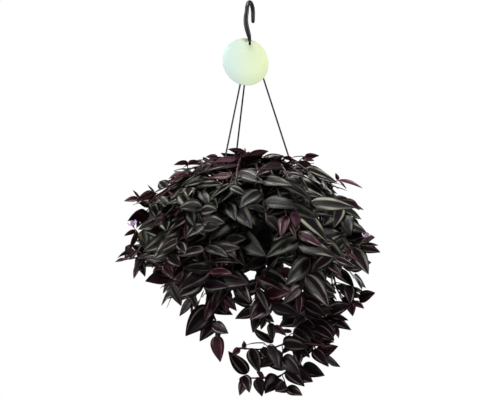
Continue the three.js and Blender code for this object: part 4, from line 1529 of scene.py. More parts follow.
def plastic_group() -> bpy.types.NodeTree:
    """The fine grain, scuffs and dust of moulded plastic.

    Returns:
        The group.
    """
    tree, hand, given, put = new_group(
        "Moulded plastic",
        (("Place", VECTOR), ("Base", COLOUR), ("Dust", COLOUR), ("Amount", FLOAT)),
        (("Color", COLOUR), ("Roughness", FLOAT), ("Height", FLOAT)),
    )
    broad = hand.noise(given.outputs["Place"], 42.0, 4.0, 0.6)
    dusty = hand.times(hand.ramp(broad, 0.45, 0.75), given.outputs["Amount"])
    hand.feed(put.inputs["Color"], hand.mix(dusty, given.outputs["Base"], given.outputs["Dust"]))
    hand.feed(put.inputs["Roughness"], hand.math("MULTIPLY_ADD", broad, 0.25, 0.28))
    hand.feed(put.inputs["Height"], hand.noise(given.outputs["Place"], 900.0))
    return tree


class Finish(Enum):
    """The finishes of the scene."""

    LEAF = "Leaf upper side"
    UNDERSIDE = "Leaf underside"
    STEM = "Stem"
    PETAL = "Petal"
    POLLEN = "Pollen"
    POT = "Pot plastic"
    SOIL = "Peat"
    HANGER = "Hanger plastic"
    TAG = "Tag card"
    FLOOR = "Pale floor"


class Finishes:
    """Builds each material once and hands it out. The name of each finish is that of its method."""

    def __init__(self) -> None:
        """Builds the groups and the materials."""
        self.bands, self.veins, self.plastic = band_group(), vein_group(), plastic_group()
        self.made: dict[Finish, bpy.types.Material] = {}
        for finish in Finish:
            material = bpy.data.materials.new(finish.value)
            material.use_nodes = True
            material.node_tree.nodes.clear()
            self.hand = Shader(material.node_tree)
            getattr(self, finish.name.lower())()
            self.made[finish] = material
        LOG.info("materials: %d", len(self.made))

    def surface(
        self, base: object, roughness: object, height: Optional[object] = None, depth: float = 0.0,
        **settings: float,
    ) -> None:
        """Ends a material in its surface shader.

        Args:
            base: its colour.
            roughness: its roughness.
            height: what raises its bumps.
            depth: how far they rise, in metres.
            settings: constants on the shader's own sockets.
        """
        hand = self.hand
        shader = hand.node("ShaderNodeBsdfPrincipled")
        hand.feed(shader.inputs["Base Color"], base)
        hand.feed(shader.inputs["Roughness"], roughness)
        for name, value in settings.items():
            shader.inputs[name.replace("_", " ")].default_value = value
        if height is not None:
            bump = hand.node("ShaderNodeBump")
            bump.inputs["Distance"].default_value = depth
            hand.feed(bump.inputs["Height"], height)
            hand.feed(shader.inputs["Normal"], bump.outputs["Normal"])
        out = hand.node("ShaderNodeOutputMaterial")
        hand.feed(out.inputs["Surface"], shader.outputs[0])

    def place(self) -> Socket:
        """The place on the piece."""
        return self.hand.node("ShaderNodeTexCoord").outputs["Object"]

    def uv(self) -> Socket:
        """The piece's own map."""
        return self.hand.node("ShaderNodeUVMap", uv_map="UVMap").outputs[0]

    def growth(self) -> tuple[Socket, Socket, Socket, Socket]:
        """The tint, youth, warmth and depth stored on the piece; depth is painted shade with some random dark tone."""
        stored = self.hand.node("ShaderNodeAttribute", attribute_name="growth", attribute_type="GEOMETRY")
        return *self.hand.apart(stored.outputs["Vector"]), stored.outputs["Alpha"]

    def lines(self, tint: Socket, count: float, share: float) -> tuple[Socket, Socket, Socket]:
        """Fine lines along a leaf, a stem or a petal.

        Args:
            tint: what tells one from the next.
            count: how fine they are.
            share: how strong they are.

        Returns:
            How much of the lines' colour shows, the lines themselves, and the slow mottling under them.
        """
        veins = self.hand.group(self.veins, UV=self.uv(), Tint=tint, Count=count)
        fine = veins.outputs["Lines"]
        return self.hand.ramp(fine, 0.5, 0.8, 0.0, share), fine, veins.outputs["Mottle"]

    def leaf(self) -> None:
        """The satin upper side of a leaf."""
        tint, youth, warmth, painted_shade_and_tone = self.growth()
        # The bands also darken the leaf by painted shade with some random dark tone.
        bands = self.hand.group(self.bands, UV=self.uv(), Tint=tint, Youth=youth, Warmth=warmth, Depth=painted_shade_and_tone)
        roughness = self.hand.ramp(bands.outputs["Silver"], 0.0, 1.0, 0.3, 0.24)
        self.surface(bands.outputs["Color"], roughness, bands.outputs["Height"], 0.0002, Specular_IOR_Level=0.15)

    def underside(self) -> None:
        """The wine-red underside of a leaf."""
        hand = self.hand
        tint, youth, _, painted_shade_and_tone = self.growth()
        share, fine, mottle = self.lines(tint, 30.0, 0.3)
        red = hand.mix(youth, hand.mix(tint, colour(56, 20, 31), colour(72, 32, 47)), colour(104, 44, 60))
        dark = hand.mix(hand.ramp(mottle, 0.35, 0.7), red, colour(36, 17, 26))
        lined = hand.mix(share, dark, colour(108, 66, 76))
        # Painted shade with some random dark tone draws the underside towards near-black.
        self.surface(hand.mix(painted_shade_and_tone, lined, PAINTED_SHADE_AND_DARK_TONE), 0.45, fine, 0.0002, Specular_IOR_Level=0.15)

    def stem(self) -> None:
        """Wine-brown stems that are green where they are young."""
        hand = self.hand
        tint, youth, green, _ = self.growth()
        share, fine, mottle = self.lines(tint, 14.0, 0.25)
        brown = hand.mix(mottle, colour(46, 22, 27), colour(30, 19, 20))
        fresh = hand.mix(green, hand.mix(youth, brown, colour(84, 36, 46)), colour(158, 160, 62))
        self.surface(hand.mix(share, fresh, colour(104, 76, 68)), 0.45, fine, 0.0002)

    def petal(self) -> None:
        """Lilac petals, paler at their foot."""
        hand = self.hand
        share, fine, _ = self.lines(self.growth()[0], 20.0, 0.25)
        _, along, _ = hand.apart(self.uv())
        lilac = hand.mix(hand.ramp(along, 0.1, 0.9), colour(244, 222, 250), colour(214, 152, 230))
        self.surface(hand.mix(share, lilac, colour(190, 122, 212)), 0.6, fine, 0.0001, Subsurface_Weight=0.25)

    def pollen(self) -> None:
        """Yellow pollen heads."""
        grain = self.hand.noise(self.place(), 4000.0)
        yellow = self.hand.mix(grain, colour(232, 190, 60), colour(250, 224, 120))
        self.surface(yellow, 0.8, grain, 0.00005)

    def moulded(self, base: tuple[float, ...], dust: tuple[float, ...], amount: float, depth: float) -> None:
        """Plastic with a fine grain and some dust.

        Args:
            base: its colour.
            dust: the colour of the dust.
            amount: how much dust there is.
            depth: how far the grain rises, in metres.
        """
        grain = self.hand.group(self.plastic, Place=self.place(), Base=base, Dust=dust, Amount=amount)
        self.surface(grain.outputs["Color"], grain.outputs["Roughness"], grain.outputs["Height"], depth)

    def pot(self) -> None:
        """The thin black plastic of the pot."""
        self.moulded(colour(24, 25, 26), colour(60, 56, 52), 0.35, 0.00003)

    def hanger(self) -> None:
        """The smooth black plastic of the hook and strands."""
        self.moulded(colour(15, 16, 18), colour(44, 44, 46), 0.2, 0.000006)

    def soil(self) -> None:
        """Dark peat with fibres and a few pale grains."""
        hand, place = self.hand, self.place()
        crumbs, grains = hand.noise(place, 420.0, 5.0, 0.7), hand.noise(place, 700.0, 0.0)
        brown = hand.mix(hand.ramp(crumbs, 0.35, 0.7), colour(28, 20, 15), colour(78, 58, 42))
        self.surface(hand.mix(hand.ramp(grains, 0.74, 0.78), brown, colour(190, 184, 170)), 0.95, crumbs, 0.0012)

    def tag(self) -> None:
        """Smooth pale card, from blue-green at the lower left to yellow-green at the upper right."""
        hand, uv = self.hand, self.uv()
        u, v, _ = hand.apart(uv)
        share = hand.ramp(hand.math("MULTIPLY_ADD", v, 0.25, u), 0.15, 1.0)
        fade = hand.mix(share, colour(222, 244, 236), colour(238, 250, 204))
        self.surface(fade, hand.ramp(hand.noise(uv, 9.0, 3.0), 0.2, 0.8, 0.56, 0.62), Specular_IOR_Level=0.2)

    def floor(self) -> None:
        """A plain pale floor."""
        cloudy = self.hand.noise(self.place(), 3.0, 3.0)
        self.surface(self.hand.mix(cloudy, colour(236, 236, 236), colour(242, 242, 242)), 0.8)


@dataclass
class Growth:
    """What a surface stores for its material."""

    tint: float = 0.5
    youth: float = 0.0
    warmth: float = 0.0
    # How far a leaf is drawn towards near-black: painted shade near the plant's heart, with some random dark tone.
    depth: float = 0.0


Place = Callable[[float, float], Array]
# How near to the end of a sheet a row counts as its end.
END = 1e-6


class Maker:
    """Makes one piece in a bmesh, from sheets laid over formulas, in millimetres."""

    def __init__(self) -> None:
        """Starts an empty piece."""
        self.mesh = bmesh.new()
        self.uv = self.mesh.loops.layers.uv.new("UVMap")
        self.growth = self.mesh.verts.layers.float_color.new("growth")
        self.crease = self.mesh.edges.layers.float.new("crease_edge")

    def sheet(
        self, columns: int, rows: int, place: Place, finish: int = 0, growth: Optional[Growth] = None,
        uv: Optional[Callable[[float, float], tuple[float, float]]] = None,
    ) -> list[bmesh.types.BMVert]:
        """Lays a grid over a formula.

        Args:
            columns: faces across it.
            rows: faces along it.
            place: gives the place in millimetres of a share across and a share along.
            finish: the number of its material.
            growth: what is stored on it.
            uv: gives its map, where that isn't the two shares.

        Returns:
            Its corners.
        """
        made = bmesh.ops.create_grid(self.mesh, x_segments=columns, y_segments=rows, size=0.5)["verts"]
        given = growth or Growth()
        shares = {}
        for vert in made:
            u, v = vert.co.x + 0.5, vert.co.y + 0.5
            shares[vert] = uv(u, v) if uv else (u, v)
            vert.co = Vector(place(u, v)) * MM
            vert[self.growth] = (given.tint, given.youth, given.warmth, given.depth)
        for face in {face for vert in made for face in vert.link_faces}:
            face.material_index = finish
            face.smooth = True
            for loop in face.loops:
                loop[self.uv].uv = shares[loop.vert]
        return made

    def join(self, verts: Iterable[bmesh.types.BMVert], gap: float = 1e-4) -> None:
        """Merges the corners of sheets that meet within a gap in millimetres."""
        bmesh.ops.remove_doubles(self.mesh, verts=list(verts), dist=gap * MM)

    def tube(
        self, points: Sequence[Array], radii: Sequence[float], sides: int, finish: int = 0,
        growth: Optional[Growth] = None, closed: bool = True,
    ) -> list[bmesh.types.BMVert]:
        """A round tube along points.

        Args:
            points: where its rings stand.
            radii: the radius of each ring.
            sides: how many faces go round.
            finish: the number of its material.
            growth: what is stored on it.
            closed: whether its ends are drawn to a point.

        Returns:
            Its corners before the seam is merged.
        """
        if closed:
            points = [points[0], *points, points[-1]]
            radii = [0.0, *radii, 0.0]
        last = len(points) - 1
        ring = tube_points(points, radii, sides)

        def place(u: float, v: float) -> Array:
            """The corner of the tube at two shares."""
            return ring[round(v * last) * sides + round(u * sides) % sides]

        made = self.sheet(sides, last, place, finish, growth)
        self.join(made)
        return made

    def two_sided(
        self, columns: int, rows: int, place: Callable[[float, float, bool], Array], under: int, growth: Growth,
    ) -> None:
        """Lays an upper and a lower sheet that meet at their margin.

        Args:
            columns: faces across each.
            rows: faces along each.
            place: gives the place of a side from -1 to 1 and a share along, on the upper or the lower sheet.
            under: the number of the lower sheet's material.
            growth: what is stored on them.
        """
        upper = self.sheet(columns, rows, lambda u, v: place(1 - 2 * u, v, False), 0, growth)
        lower = self.sheet(
            columns, rows, lambda u, v: place(2 * u - 1, v, True), under, growth, lambda u, v: (1 - u, v))
        self.join(upper + lower, 1e-3)

    def sharpen(self, degrees: float = 180.0) -> None:
        """Marks edges sharp where materials meet, or faces meet at more than an angle.

        Args:
            degrees: the angle.
        """
        limit = math.radians(degrees)
        for edge in self.mesh.edges:
            faces = edge.link_faces
            if len(faces) == 2:
                meet = faces[0].material_index != faces[1].material_index
                edge.smooth = not (meet or edge.calc_face_angle(0.0) > limit)
                edge[self.crease] = 1.0 if meet else 0.0

    def finish(
        self, name: str, finishes: Finishes, wanted: Sequence[Finish], slot: Slot, nodes: Sequence[str],
        levels: int = 0,
    ) -> bpy.types.Object:
        """Turns the bmesh into a finished piece.

        Args:
            name: the piece's name.
            finishes: hands out the materials.
            wanted: its materials in order.
            slot: the record's material slot; not used.
            nodes: the solids that it stands for.
            levels: how often its faces are divided smooth.

        Returns:
            The object.
        """
        mesh = bpy.data.meshes.new(name)
        self.mesh.to_mesh(mesh)
        self.mesh.free()
        for want in wanted:
            mesh.materials.append(finishes.made[want])
        piece = bpy.data.objects.new(name, mesh)
        bpy.context.scene.collection.objects.link(piece)
        if levels:
            smooth = piece.modifiers.new("Smooth", "SUBSURF")
            smooth.levels = smooth.render_levels = levels
            smooth.uv_smooth = "NONE"
        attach(piece, "root")
        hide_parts(*nodes)
        LOG.info("%s: %d faces", name, len(mesh.polygons))
        return piece


@dataclass(frozen=True)
class Zone:
    """A part of the plant that starts at a height or a radius and is full some millimetres on."""

    start: float
    over: float

    def share(self, value: float) -> float:
        """How far in the zone a height or a radius is, from 0 to 1."""
        return held((value - self.start) / self.over)


# LOW is measured down from the hook's seat.
LOW = Zone(285.0, 60.0)
OUTER = Zone(90.0, 60.0)
TOP = Zone(-212.0, 25.0)
# The middle and the reach of the painted shade at the plant's heart, in millimetres.
SHADED_HEART_Z, SHADED_HEART_WIDE, SHADED_HEART_HIGH = -255.0, 75.0, 62.0


@dataclass
class Foliage:
    """The leafy stems: finer blades where the solid ones are, on smooth stems with swollen nodes.

    A pair of sizes is the lowest and the highest of what chance gives.
    """

    finishes: Finishes
    columns: int = 4
    rows: int = 7
    thickness: float = 0.5
    taper: float = 6.0
    arch: tuple[float, float] = (0.22, 0.6)
    arch_scale: float = 1.6
    ruffle: tuple[float, float] = (0.0, 0.09)
    waves: tuple[float, float] = (1.2, 2.4)
    turn: float = 6.28
    lag: float = 1.3
    stem_share: float = 0.86
    stem_sides: int = 6
    young_reach: float = 60.0
    green_reach: float = 20.0
    sheath_reach: float = 26.0
    tints: int = 51
    seed: int = 50021

    def character(self, stem: Stem, leaf: Leaf, draw: Draw) -> Growth:
        """How a leaf is coloured, from where it grows, with painted shade near the plant's heart.

        Args:
            stem: the stem that it grows on.
            leaf: the leaf.
            draw: the row of numbers for chance.

        Returns:
            What is stored on it.
        """
        if isinstance(stem, YoungTip):
            return Growth(draw(0.3, 1), draw(0.35, 0.9), 1.0, 0.0)
        x, y, z = leaf.root
        low, outer, top = LOW.share(-z), OUTER.share(math.hypot(x, y)), TOP.share(z)
        tip = 0.0 if stem.bold else max(0.0, 0.85 - leaf.node / 1.8)
        warmth = held(0.05 + 0.8 * low + 0.5 * outer + 0.5 * top + draw(-0.3, 0.35))
        youth = held(tip + draw(-0.35, 0.1))
        # Painted shade: leaves near the plant's heart are drawn darker, standing in for the shade deep in the foliage;
        # every leaf also gets some random dark tone.
        middle = 1.0 - min(1.0, math.hypot(x / SHADED_HEART_WIDE, (z - SHADED_HEART_Z) / SHADED_HEART_HIGH))
        depth = held(0.2 + 1.1 * middle + draw(-0.35, 0.35), 0.92) * (1 - youth)
        tint = draw(0, 1)
        if draw(0, 1) < 0.12 * (outer + top) + 0.05 * low:
            warmth, youth, depth = 1.0, max(youth, draw(0.3, 0.7)), 0.0
        return Growth(tint, youth, warmth, depth)

    def blade(self, make: Maker, leaf: Leaf, growth: Growth, draw: Draw) -> None:
        """Makes one leaf as two sheets that meet at its margin.

        Args:
            make: the piece that it goes into.
            leaf: where it is.
            growth: how it is coloured.
            draw: the row of numbers for chance.
        """
        frames = leaf.midrib()
        line = smooth_line([frame[0] for frame in frames], 4)
        fine = len(line) - 1
        arch, ruffle, phase, waves = draw(*self.arch), draw(*self.ruffle), draw(0, self.turn), draw(*self.waves)

        def surface(side: float, v: float, under: bool) -> Array:
            """A corner of the blade.

            Args:
                side: how far across it is, from -1 to 1.
                v: how far along it is, from 0 to 1.
                under: whether it is on the lower sheet.

            Returns:
                Its place.
            """
            a = abs(side)
            t = (1 - math.cos(math.pi * v)) / 2
            at = t * fine
            i = min(int(at), fine - 1)
            point = line[i] + (line[i + 1] - line[i]) * (at - i)
            j = min(int(t * LEAF.steps), LEAF.steps - 1)
            share = t * LEAF.steps - j
            way = unit(frames[j][1] * (1 - share) + frames[j + 1][1] * share)
            face = frames[j][2] * (1 - share) + frames[j + 1][2] * share
            face = unit(face - way * dot(face, way))
            if v < END:
                return point - way * leaf.sunk
            half = leaf.width * half_width(min(t, 1.0)) if v < 1 - END else 0.0
            rise = half * (a * math.tan(leaf.fold) + arch * (a - a * a) * self.arch_scale)
            lag = self.lag if side > 0 else 0.0
            rise += half * ruffle * a * a * math.sin(self.turn * waves * t + phase + lag)
            if under:
                rise -= self.thickness * (1 - a) * min(1.0, self.taper * t, self.taper * (1 - t))
            return point + cross(face, way) * (side * half) + face * rise

        make.two_sided(self.columns, self.rows, surface, 1, growth)

    def stalk(self, make: Maker, stem: Stem) -> None:
        """Makes the stem itself, from its foot to its tip.

        Args:
            make: the piece that it goes into.
            stem: the stem.
        """
        samples = list(zip(stem.path.samples, stem.path.reach))[::-1]
        rings = [*samples[:-1:3], samples[-1]]
        points = [stem.foot, *(point for point, _ in rings)]
        radii = [stem.radius(at) * self.stem_share for at in (stem.path.length, *(at for _, at in rings))]
        for vert in make.tube(points, radii, self.stem_sides, 2):
            if vert.is_valid:
                _, at = min(rings, key=lambda ring: (Vector(ring[0]) * MM - vert.co).length_squared)
                youth = max(0.0, 0.7 - at / self.young_reach)
                green = max(0.0, 1.0 - at / self.green_reach) if stem.flower else 0.0
                vert[make.growth] = (stem.index / self.tints, youth, green, 0.0)

    def side_shoot(self, make: Maker, shoot: Shoot) -> None:
        """Makes a side shoot with its leaves.

        Args:
            make: the piece that it goes into.
            shoot: the shoot.
        """
        for leaf in shoot.leaves:
            draw = Draw(shoot.seed + self.seed + leaf.node)
            self.blade(make, leaf, self.character(shoot, leaf, draw), draw)
        points = [*shoot.path.samples[::4], shoot.foot]
        radii = [shoot.radius(at) for at in [*shoot.path.reach[::4], shoot.path.length]]
        make.tube(points, radii, 5, 2, Growth(0.4, 0.5, 0.0))

    def node_sheath(self, make: Maker, stem: Stem, leaf: Leaf, growth: Growth) -> None:
        """Makes the sheath that a leaf clasps its stem with.

        Args:
            make: the piece that it goes into.
            stem: the stem.
            leaf: the leaf.
            growth: how the leaf is coloured.
        """
        at = stem.spots[leaf.node]
        low, high = stem.path.from_tip(min(at + 3.6, stem.path.length)), stem.path.from_tip(max(at - 1.4, 0.1))
        middle = stem.path.from_tip(at + 0.8)
        radius = stem.radius(at) * self.stem_share
        green = max(0.0, 0.9 - at / self.sheath_reach) if stem.flower else 0.0
        make.tube(
            [low, middle, high], [radius + 0.1, radius + 0.55, radius + 0.25], self.stem_sides, 2,
            Growth(growth.tint, 0.45 + 0.4 * growth.youth, green))

    def build(self, stems: Sequence[Stem], shoots: Sequence[Shoot]) -> None:
        """Makes one piece for each stem, with the shoots that grow from it.

        Args:
            stems: the stems.
            shoots: all the shoots.
        """
        for stem in stems:
            make = Maker()
            for leaf in stem.leaves:
                draw = Draw(self.seed + 131 * stem.index + leaf.node)
                growth = self.character(stem, leaf, draw)
                self.blade(make, leaf, growth, draw)
                self.node_sheath(make, stem, leaf, growth)
            self.stalk(make, stem)
            for shoot in shoots:
                if shoot.index == stem.index and shoot.leaves:
                    self.side_shoot(make, shoot)
            make.sharpen()
            make.finish(
                "leafy_" + stem.name, self.finishes, (Finish.LEAF, Finish.UNDERSIDE, Finish.STEM), Slot.FOLIAGE,
                ["stem_" + stem.name], levels=1)


@dataclass
class Blooms:
    """The small blooms: a green cup, three rounded petals and pollen heads."""

    finishes: Finishes
    stamens: int = 6
    cupped: float = 3.2
    spread: float = 0.7
    hollow: float = 0.5
    crumple: float = 0.25
    thickness: float = 0.3

    def build(self, stems: Sequence[Stem]) -> None:
        """Makes one piece for each bloom.

        Args:
            stems: all the stems.
        """
        for stem in stems:
            if not stem.flower:
                continue
            bloom = bloom_of(stem)
            make = Maker()
            make.tube(
                [bloom.foot, bloom.foot + bloom.rise * 1.6, bloom.cup], [0.8, 1.5, 1.2], 8, 1, Growth(0.4, 0.3, 0.8))
            for number, petal in enumerate(bloom.petals):
                self.petal(make, petal, bloom.rise * self.cupped, Growth(0.2 + 0.3 * number))
            for number in range(self.stamens):
                turn = 2 * math.pi * number / self.stamens
                side = unit(cross(bloom.rise, vec(math.cos(turn), math.sin(turn), 0.3)))
                foot = bloom.cup + side * 0.5
                top = bloom.cup + bloom.rise * 2.6 + side * 1.3
                make.tube([foot, (foot + top) / 2 + side * 0.2, top], [0.14, 0.12, 0.1], 5, 0, Growth(0.1))
                make.tube([top, top + bloom.rise * 0.4, top + bloom.rise * 0.8], [0.2, 0.42, 0.2], 6, 2)
            make.sharpen()
            make.finish(
                "petals_" + stem.name, self.finishes, (Finish.PETAL, Finish.STEM, Finish.POLLEN), Slot.BLOOM,
                ["bloom_" + stem.name], levels=1)

    def petal(self, make: Maker, petal: Leaf, lift: Array, growth: Growth) -> None:
        """Makes one rounded petal as two sheets, its end lifted.

        Args:
            make: the piece that it goes into.
            petal: where it is.
            lift: how far its end is lifted.
            growth: what is stored on it.
        """
        frames = petal.midrib()

        def surface(side: float, v: float, under: bool) -> Array:
            """A corner of the petal.

            Args:
                side: how far across it is, from -1 to 1.
                v: how far along it is, from 0 to 1.
                under: whether it is on the lower sheet.

            Returns:
                Its place.
            """
            t = v * 0.97
            _, way, face = frames[min(round(t * LEAF.steps), LEAF.steps)]
            point = petal.root + (frames[-1][0] - petal.root) * t + lift * (t * t)
            half = petal.width * self.spread * math.sin(math.pi * t ** 0.8) ** 0.7
            rise = -self.hollow * (side * half) ** 2 / petal.width + self.crumple * math.sin(5 * side + 3 * t)
            if under:
                rise -= self.thickness * (1 - abs(side)) * min(1.0, 4 * t, 4 * (1 - t))
            if v < END or v > 1 - END:
                half, rise = 0.0, 0.0
            return point + cross(face, way) * (side * half) + face * rise

        make.two_sided(4, 6, surface, 0, growth)


def turned(make: Maker, profile: Sequence[tuple[float, float]], steps: int) -> None:
    """Turns a profile about the Z axis.

    Args:
        make: the piece that it goes into.
        profile: radius and height of its corners, from the lower end on the axis to the upper.
        steps: how many faces go round.
    """
    mesh, before = make.mesh, set(make.mesh.faces)
    line = [mesh.verts.new((radius * MM, 0.0, z * MM)) for radius, z in profile]
    edges = [mesh.edges.new(pair) for pair in zip(line, line[1:])]
    bmesh.ops.spin(
        mesh, geom=line + edges, cent=(0, 0, 0), axis=(0, 0, 1), angle=2 * math.pi, steps=steps, use_merge=True)
    faces = [face for face in mesh.faces if face not in before]
    make.join({vert for face in faces for vert in face.verts})
    faces = [face for face in mesh.faces if face not in before]
    bmesh.ops.recalc_face_normals(mesh, faces=faces)
    for face in faces:
        face.smooth = True


def rounded(profile: Sequence[tuple[float, float]], radius: float, steps: int = 3) -> list[tuple[float, float]]:
    """A profile with its inner corners rounded.

    Args:
        profile: its corners.
        radius: how far the rounding reaches along each side.
        steps: how many faces each corner gets.

    Returns:
        The finer profile.
    """
    made = [profile[0]]
    for before, here, after in zip(profile, profile[1:], profile[2:]):
        one, other = np.array(before) - here, np.array(after) - here
        reach = min(radius, 0.45 * math.hypot(*one), 0.45 * math.hypot(*other))
        start = np.array(here) + one / math.hypot(*one) * reach
        end = np.array(here) + other / math.hypot(*other) * reach
        for k in range(steps + 1):
            t = k / steps
            point = start * (1 - t) ** 2 + np.array(here) * 2 * t * (1 - t) + end * t * t
            made.append((float(point[0]), float(point[1])))
    made.append(profile[-1])
    return made


def drill(piece: bpy.types.Object, holes: Sequence[tuple[Array, float, float]]) -> None:
    """Cuts upright holes through a piece.

    Args:
        piece: what is cut.
        holes: the middle, radius and height of each, in millimetres.
    """
    cutter_mesh = bmesh.new()
    for middle, radius, height in holes:
        bmesh.ops.create_cone(
            cutter_mesh, cap_ends=True, segments=24, radius1=radius * MM, radius2=radius * MM, depth=height * MM,
            matrix=Matrix.Translation(Vector(middle) * MM))
    mesh = bpy.data.meshes.new("cutter")
    cutter_mesh.to_mesh(mesh)
    cutter_mesh.free()
    cutter = bpy.data.objects.new("cutter", mesh)
    bpy.context.scene.collection.objects.link(cutter)
    cut = piece.modifiers.new("Holes", "BOOLEAN")
    cut.operation, cut.solver, cut.object = "DIFFERENCE", "EXACT", cutter
    bpy.context.view_layer.update()
    graph = bpy.context.evaluated_depsgraph_get()
    done = bpy.data.meshes.new_from_object(piece.evaluated_get(graph))
    piece.modifiers.remove(cut)
    bpy.data.objects.remove(cutter)
    # The cut can leave a corner twice, less than a thousandth of a millimetre apart.
    cleaned = bmesh.new()
    cleaned.from_mesh(done)
    bmesh.ops.remove_doubles(cleaned, verts=cleaned.verts, dist=MM / 1000)
    cleaned.to_mesh(done)
    cleaned.free()
    piece.data = done


@dataclass
class Pot:
    """The black pot with its turned-down rim, and the peat in it."""

    finishes: Finishes
    steps: int = 96
    rounding: float = 0.5
    soil_gap: float = 0.4
    soil_side_gap: float = 0.75
    soil_steps: int = 72
    soil_rows: int = 26
    crumbs: float = 1.1
    fine_crumbs: float = 0.7

    def build(self) -> None:
        """Makes the pot and the soil."""
        base, under = POT.rim_top - POT.height, POT.rim_top - POT.lip
        inner = POT.neck_radius - POT.wall - 0.6
        profile = [
            (0, base), (POT.base_radius - 4, base), (POT.base_radius, base + 1.2),
            (POT.neck_radius, under - POT.rim_depth), (POT.neck_radius, under), (POT.rim_radius - 1, under),
            (POT.rim_radius - 1, under - 1.4), (POT.rim_radius, under - 1.4), (POT.rim_radius, POT.rim_top),
            (inner, POT.rim_top), (inner, under - POT.rim_depth),
            (POT.base_radius - POT.wall, base + POT.floor), (0, base + POT.floor),
        ]
        make = Maker()
        turned(make, rounded(profile, self.rounding), self.steps)
        make.sharpen(40)
        piece = make.finish("pot_body", self.finishes, (Finish.POT,), Slot.POT, ["pot"])
        holes = [(around(POT.drain_circle, 45 + 90 * k, base), POT.drain_radius, 12.0) for k in range(POT.drains)]
        holes += [(around(HANGER.anchor_circle, bearing, under), HANGER.anchor_hole, 12.0)
                  for bearing in HANGER.strand_bearings]
        drill(piece, holes)
        self.soil(inner, base + POT.floor + self.soil_gap)

    def soil(self, inner: float, bottom: float) -> None:
        """Makes the peat.

        Args:
            inner: the pot's radius at the soil's top.
            bottom: the height of the soil's underside.
        """
        edge = inner - self.soil_side_gap
        foot = POT.base_radius - POT.wall - self.soil_side_gap

        def place(u: float, v: float) -> Array:
            """A corner of the soil: of its underside, its side or its crumbly top.

            Args:
                u: how far round it is, from 0 to 1.
                v: how far along the way from the middle below to the middle above.

            Returns:
                Its place.
            """
            turn = 360 * u
            if v < 0.16:
                return around(foot * min(1.0, v * self.soil_rows / 3), turn, bottom)
            if v < 0.24:
                share = (v - 0.15) / 0.1
                return around(foot + (edge - foot) * share, turn, bottom + (POT.soil_top - 1 - bottom) * share)
            share = max(0.0, (1 - v) / 0.73)
            radius = edge * min(1.0, share)
            spot = around(radius, turn, 0)
            bumps = bumpy(spot * 0.16) * self.crumbs + bumpy(spot * 0.55) * self.fine_crumbs
            return around(radius, turn, POT.soil_top + 1.2 * (1 - share) + bumps * min(1.0, 4 * (1 - share)))

        make = Maker()
        make.join(make.sheet(self.soil_steps, self.soil_rows, place))
        make.finish("soil_filling", self.finishes, (Finish.SOIL,), Slot.SOIL, ["soil"], levels=1)


def bumpy(point: Array) -> float:
    """Smooth noise from -1 to 1 at a point."""
    return noise.noise(Vector(point))


@dataclass
class Hanger:
    """The hook with its hub, the strands and the tag."""

    finishes: Finishes
    sides: int = 12

    def build(self) -> None:
        """Makes the hook, the strands and the tag."""
        self.hook()
        for number, bearing in enumerate(HANGER.strand_bearings):
            self.strand(number + 1, bearing)
        Tag(self.finishes).build()

    def hook(self) -> None:
        """Makes the hook and the hub under it."""
        turn = math.radians(HANGER.bearing)
        heart = HANGER.loop_rod - HANGER.loop_radius

        def on_loop(u: float, z: float) -> Array:
            """A point in the plane of the loop."""
            return vec(u * math.cos(turn), u * math.sin(turn), z)

        points = [on_loop(HANGER.loop_radius, heart - 11.5), on_loop(HANGER.loop_radius, heart - 10.4)]
        radii = [1.3, HANGER.tip_radius]
        for i in range(17):
            angle = math.pi * i / 16
            points.append(on_loop(HANGER.loop_radius * math.cos(angle), heart + HANGER.loop_radius * math.sin(angle)))
            radii.append(HANGER.loop_rod)
        shank, neck = HANGER.shank, HANGER.neck
        for x, y, z, radius in (
            (-4.9, -11.2, -16, shank - 0.2), (-5.0, -11.6, -23, shank), (-3.4, -12.0, -31, shank),
            (-1.0, -12.3, -38.5, shank - 0.2), (-0.5, -12.0, -42.4, neck + 0.4), (-0.4, -11.0, -44.2, neck),
            (-0.2, -5.0, -47.2, neck), (0, -1.2, -49.2, neck + 0.2), (0, 0, -51.4, neck + 0.4),
            (0, 0, HANGER.hub_top - 1, neck + 0.7),
        ):
            points.append(vec(x, y, z))
            radii.append(radius)
        make = Maker()
        make.tube(points, radii, self.sides)
        bottom = HANGER.hub_top - HANGER.hub_thickness
        hub = [
            (0, bottom), (HANGER.hub_radius - 1.2, bottom), (HANGER.hub_radius, bottom + 1.2),
            (HANGER.hub_radius, HANGER.hub_top - 0.8), (HANGER.hub_radius - 0.8, HANGER.hub_top), (0, HANGER.hub_top),
        ]
        turned(make, rounded(hub, 0.4, 2), 40)
        make.finish("hook_and_hub", self.finishes, (Finish.HANGER,), Slot.HANGER, ["hook"], levels=1)

    def strand(self, number: int, bearing: float) -> None:
        """Makes one strand with its two stops.

        Args:
            number: its number.
            bearing: the way that it leaves the hub.
        """
        bottom, under = HANGER.hub_top - HANGER.hub_thickness, POT.rim_top - POT.lip
        upper = around(HANGER.hub_circle, bearing, (HANGER.hub_top + bottom) / 2)
        lower = around(HANGER.anchor_circle, bearing, (POT.rim_top + under) / 2)
        way = unit(lower - upper)
        top, end = upper - way * 3.2, lower + way * 3.4
        make = Maker()
        make.tube([top + (end - top) * (k / 8) for k in range(9)], [HANGER.strand * 1.1] * 9, 8)
        for at, z, radius in (
            (top, HANGER.hub_top + HANGER.top_stop + HANGER.gap, HANGER.top_stop),
            (end, under - HANGER.rim_stop - HANGER.gap, HANGER.rim_stop),
        ):
            middle = vec(at[0], at[1], z)
            heights = [math.cos(math.pi * k / 6) for k in range(1, 6)]
            make.tube(
                [middle + UP * (radius * h) for h in heights],
                [radius * math.sqrt(1 - h * h) for h in heights], 10)
        make.finish(
            f"strand_{number}_fine", self.finishes, (Finish.HANGER,), Slot.HANGER, [f"strand_{number}"], levels=1)


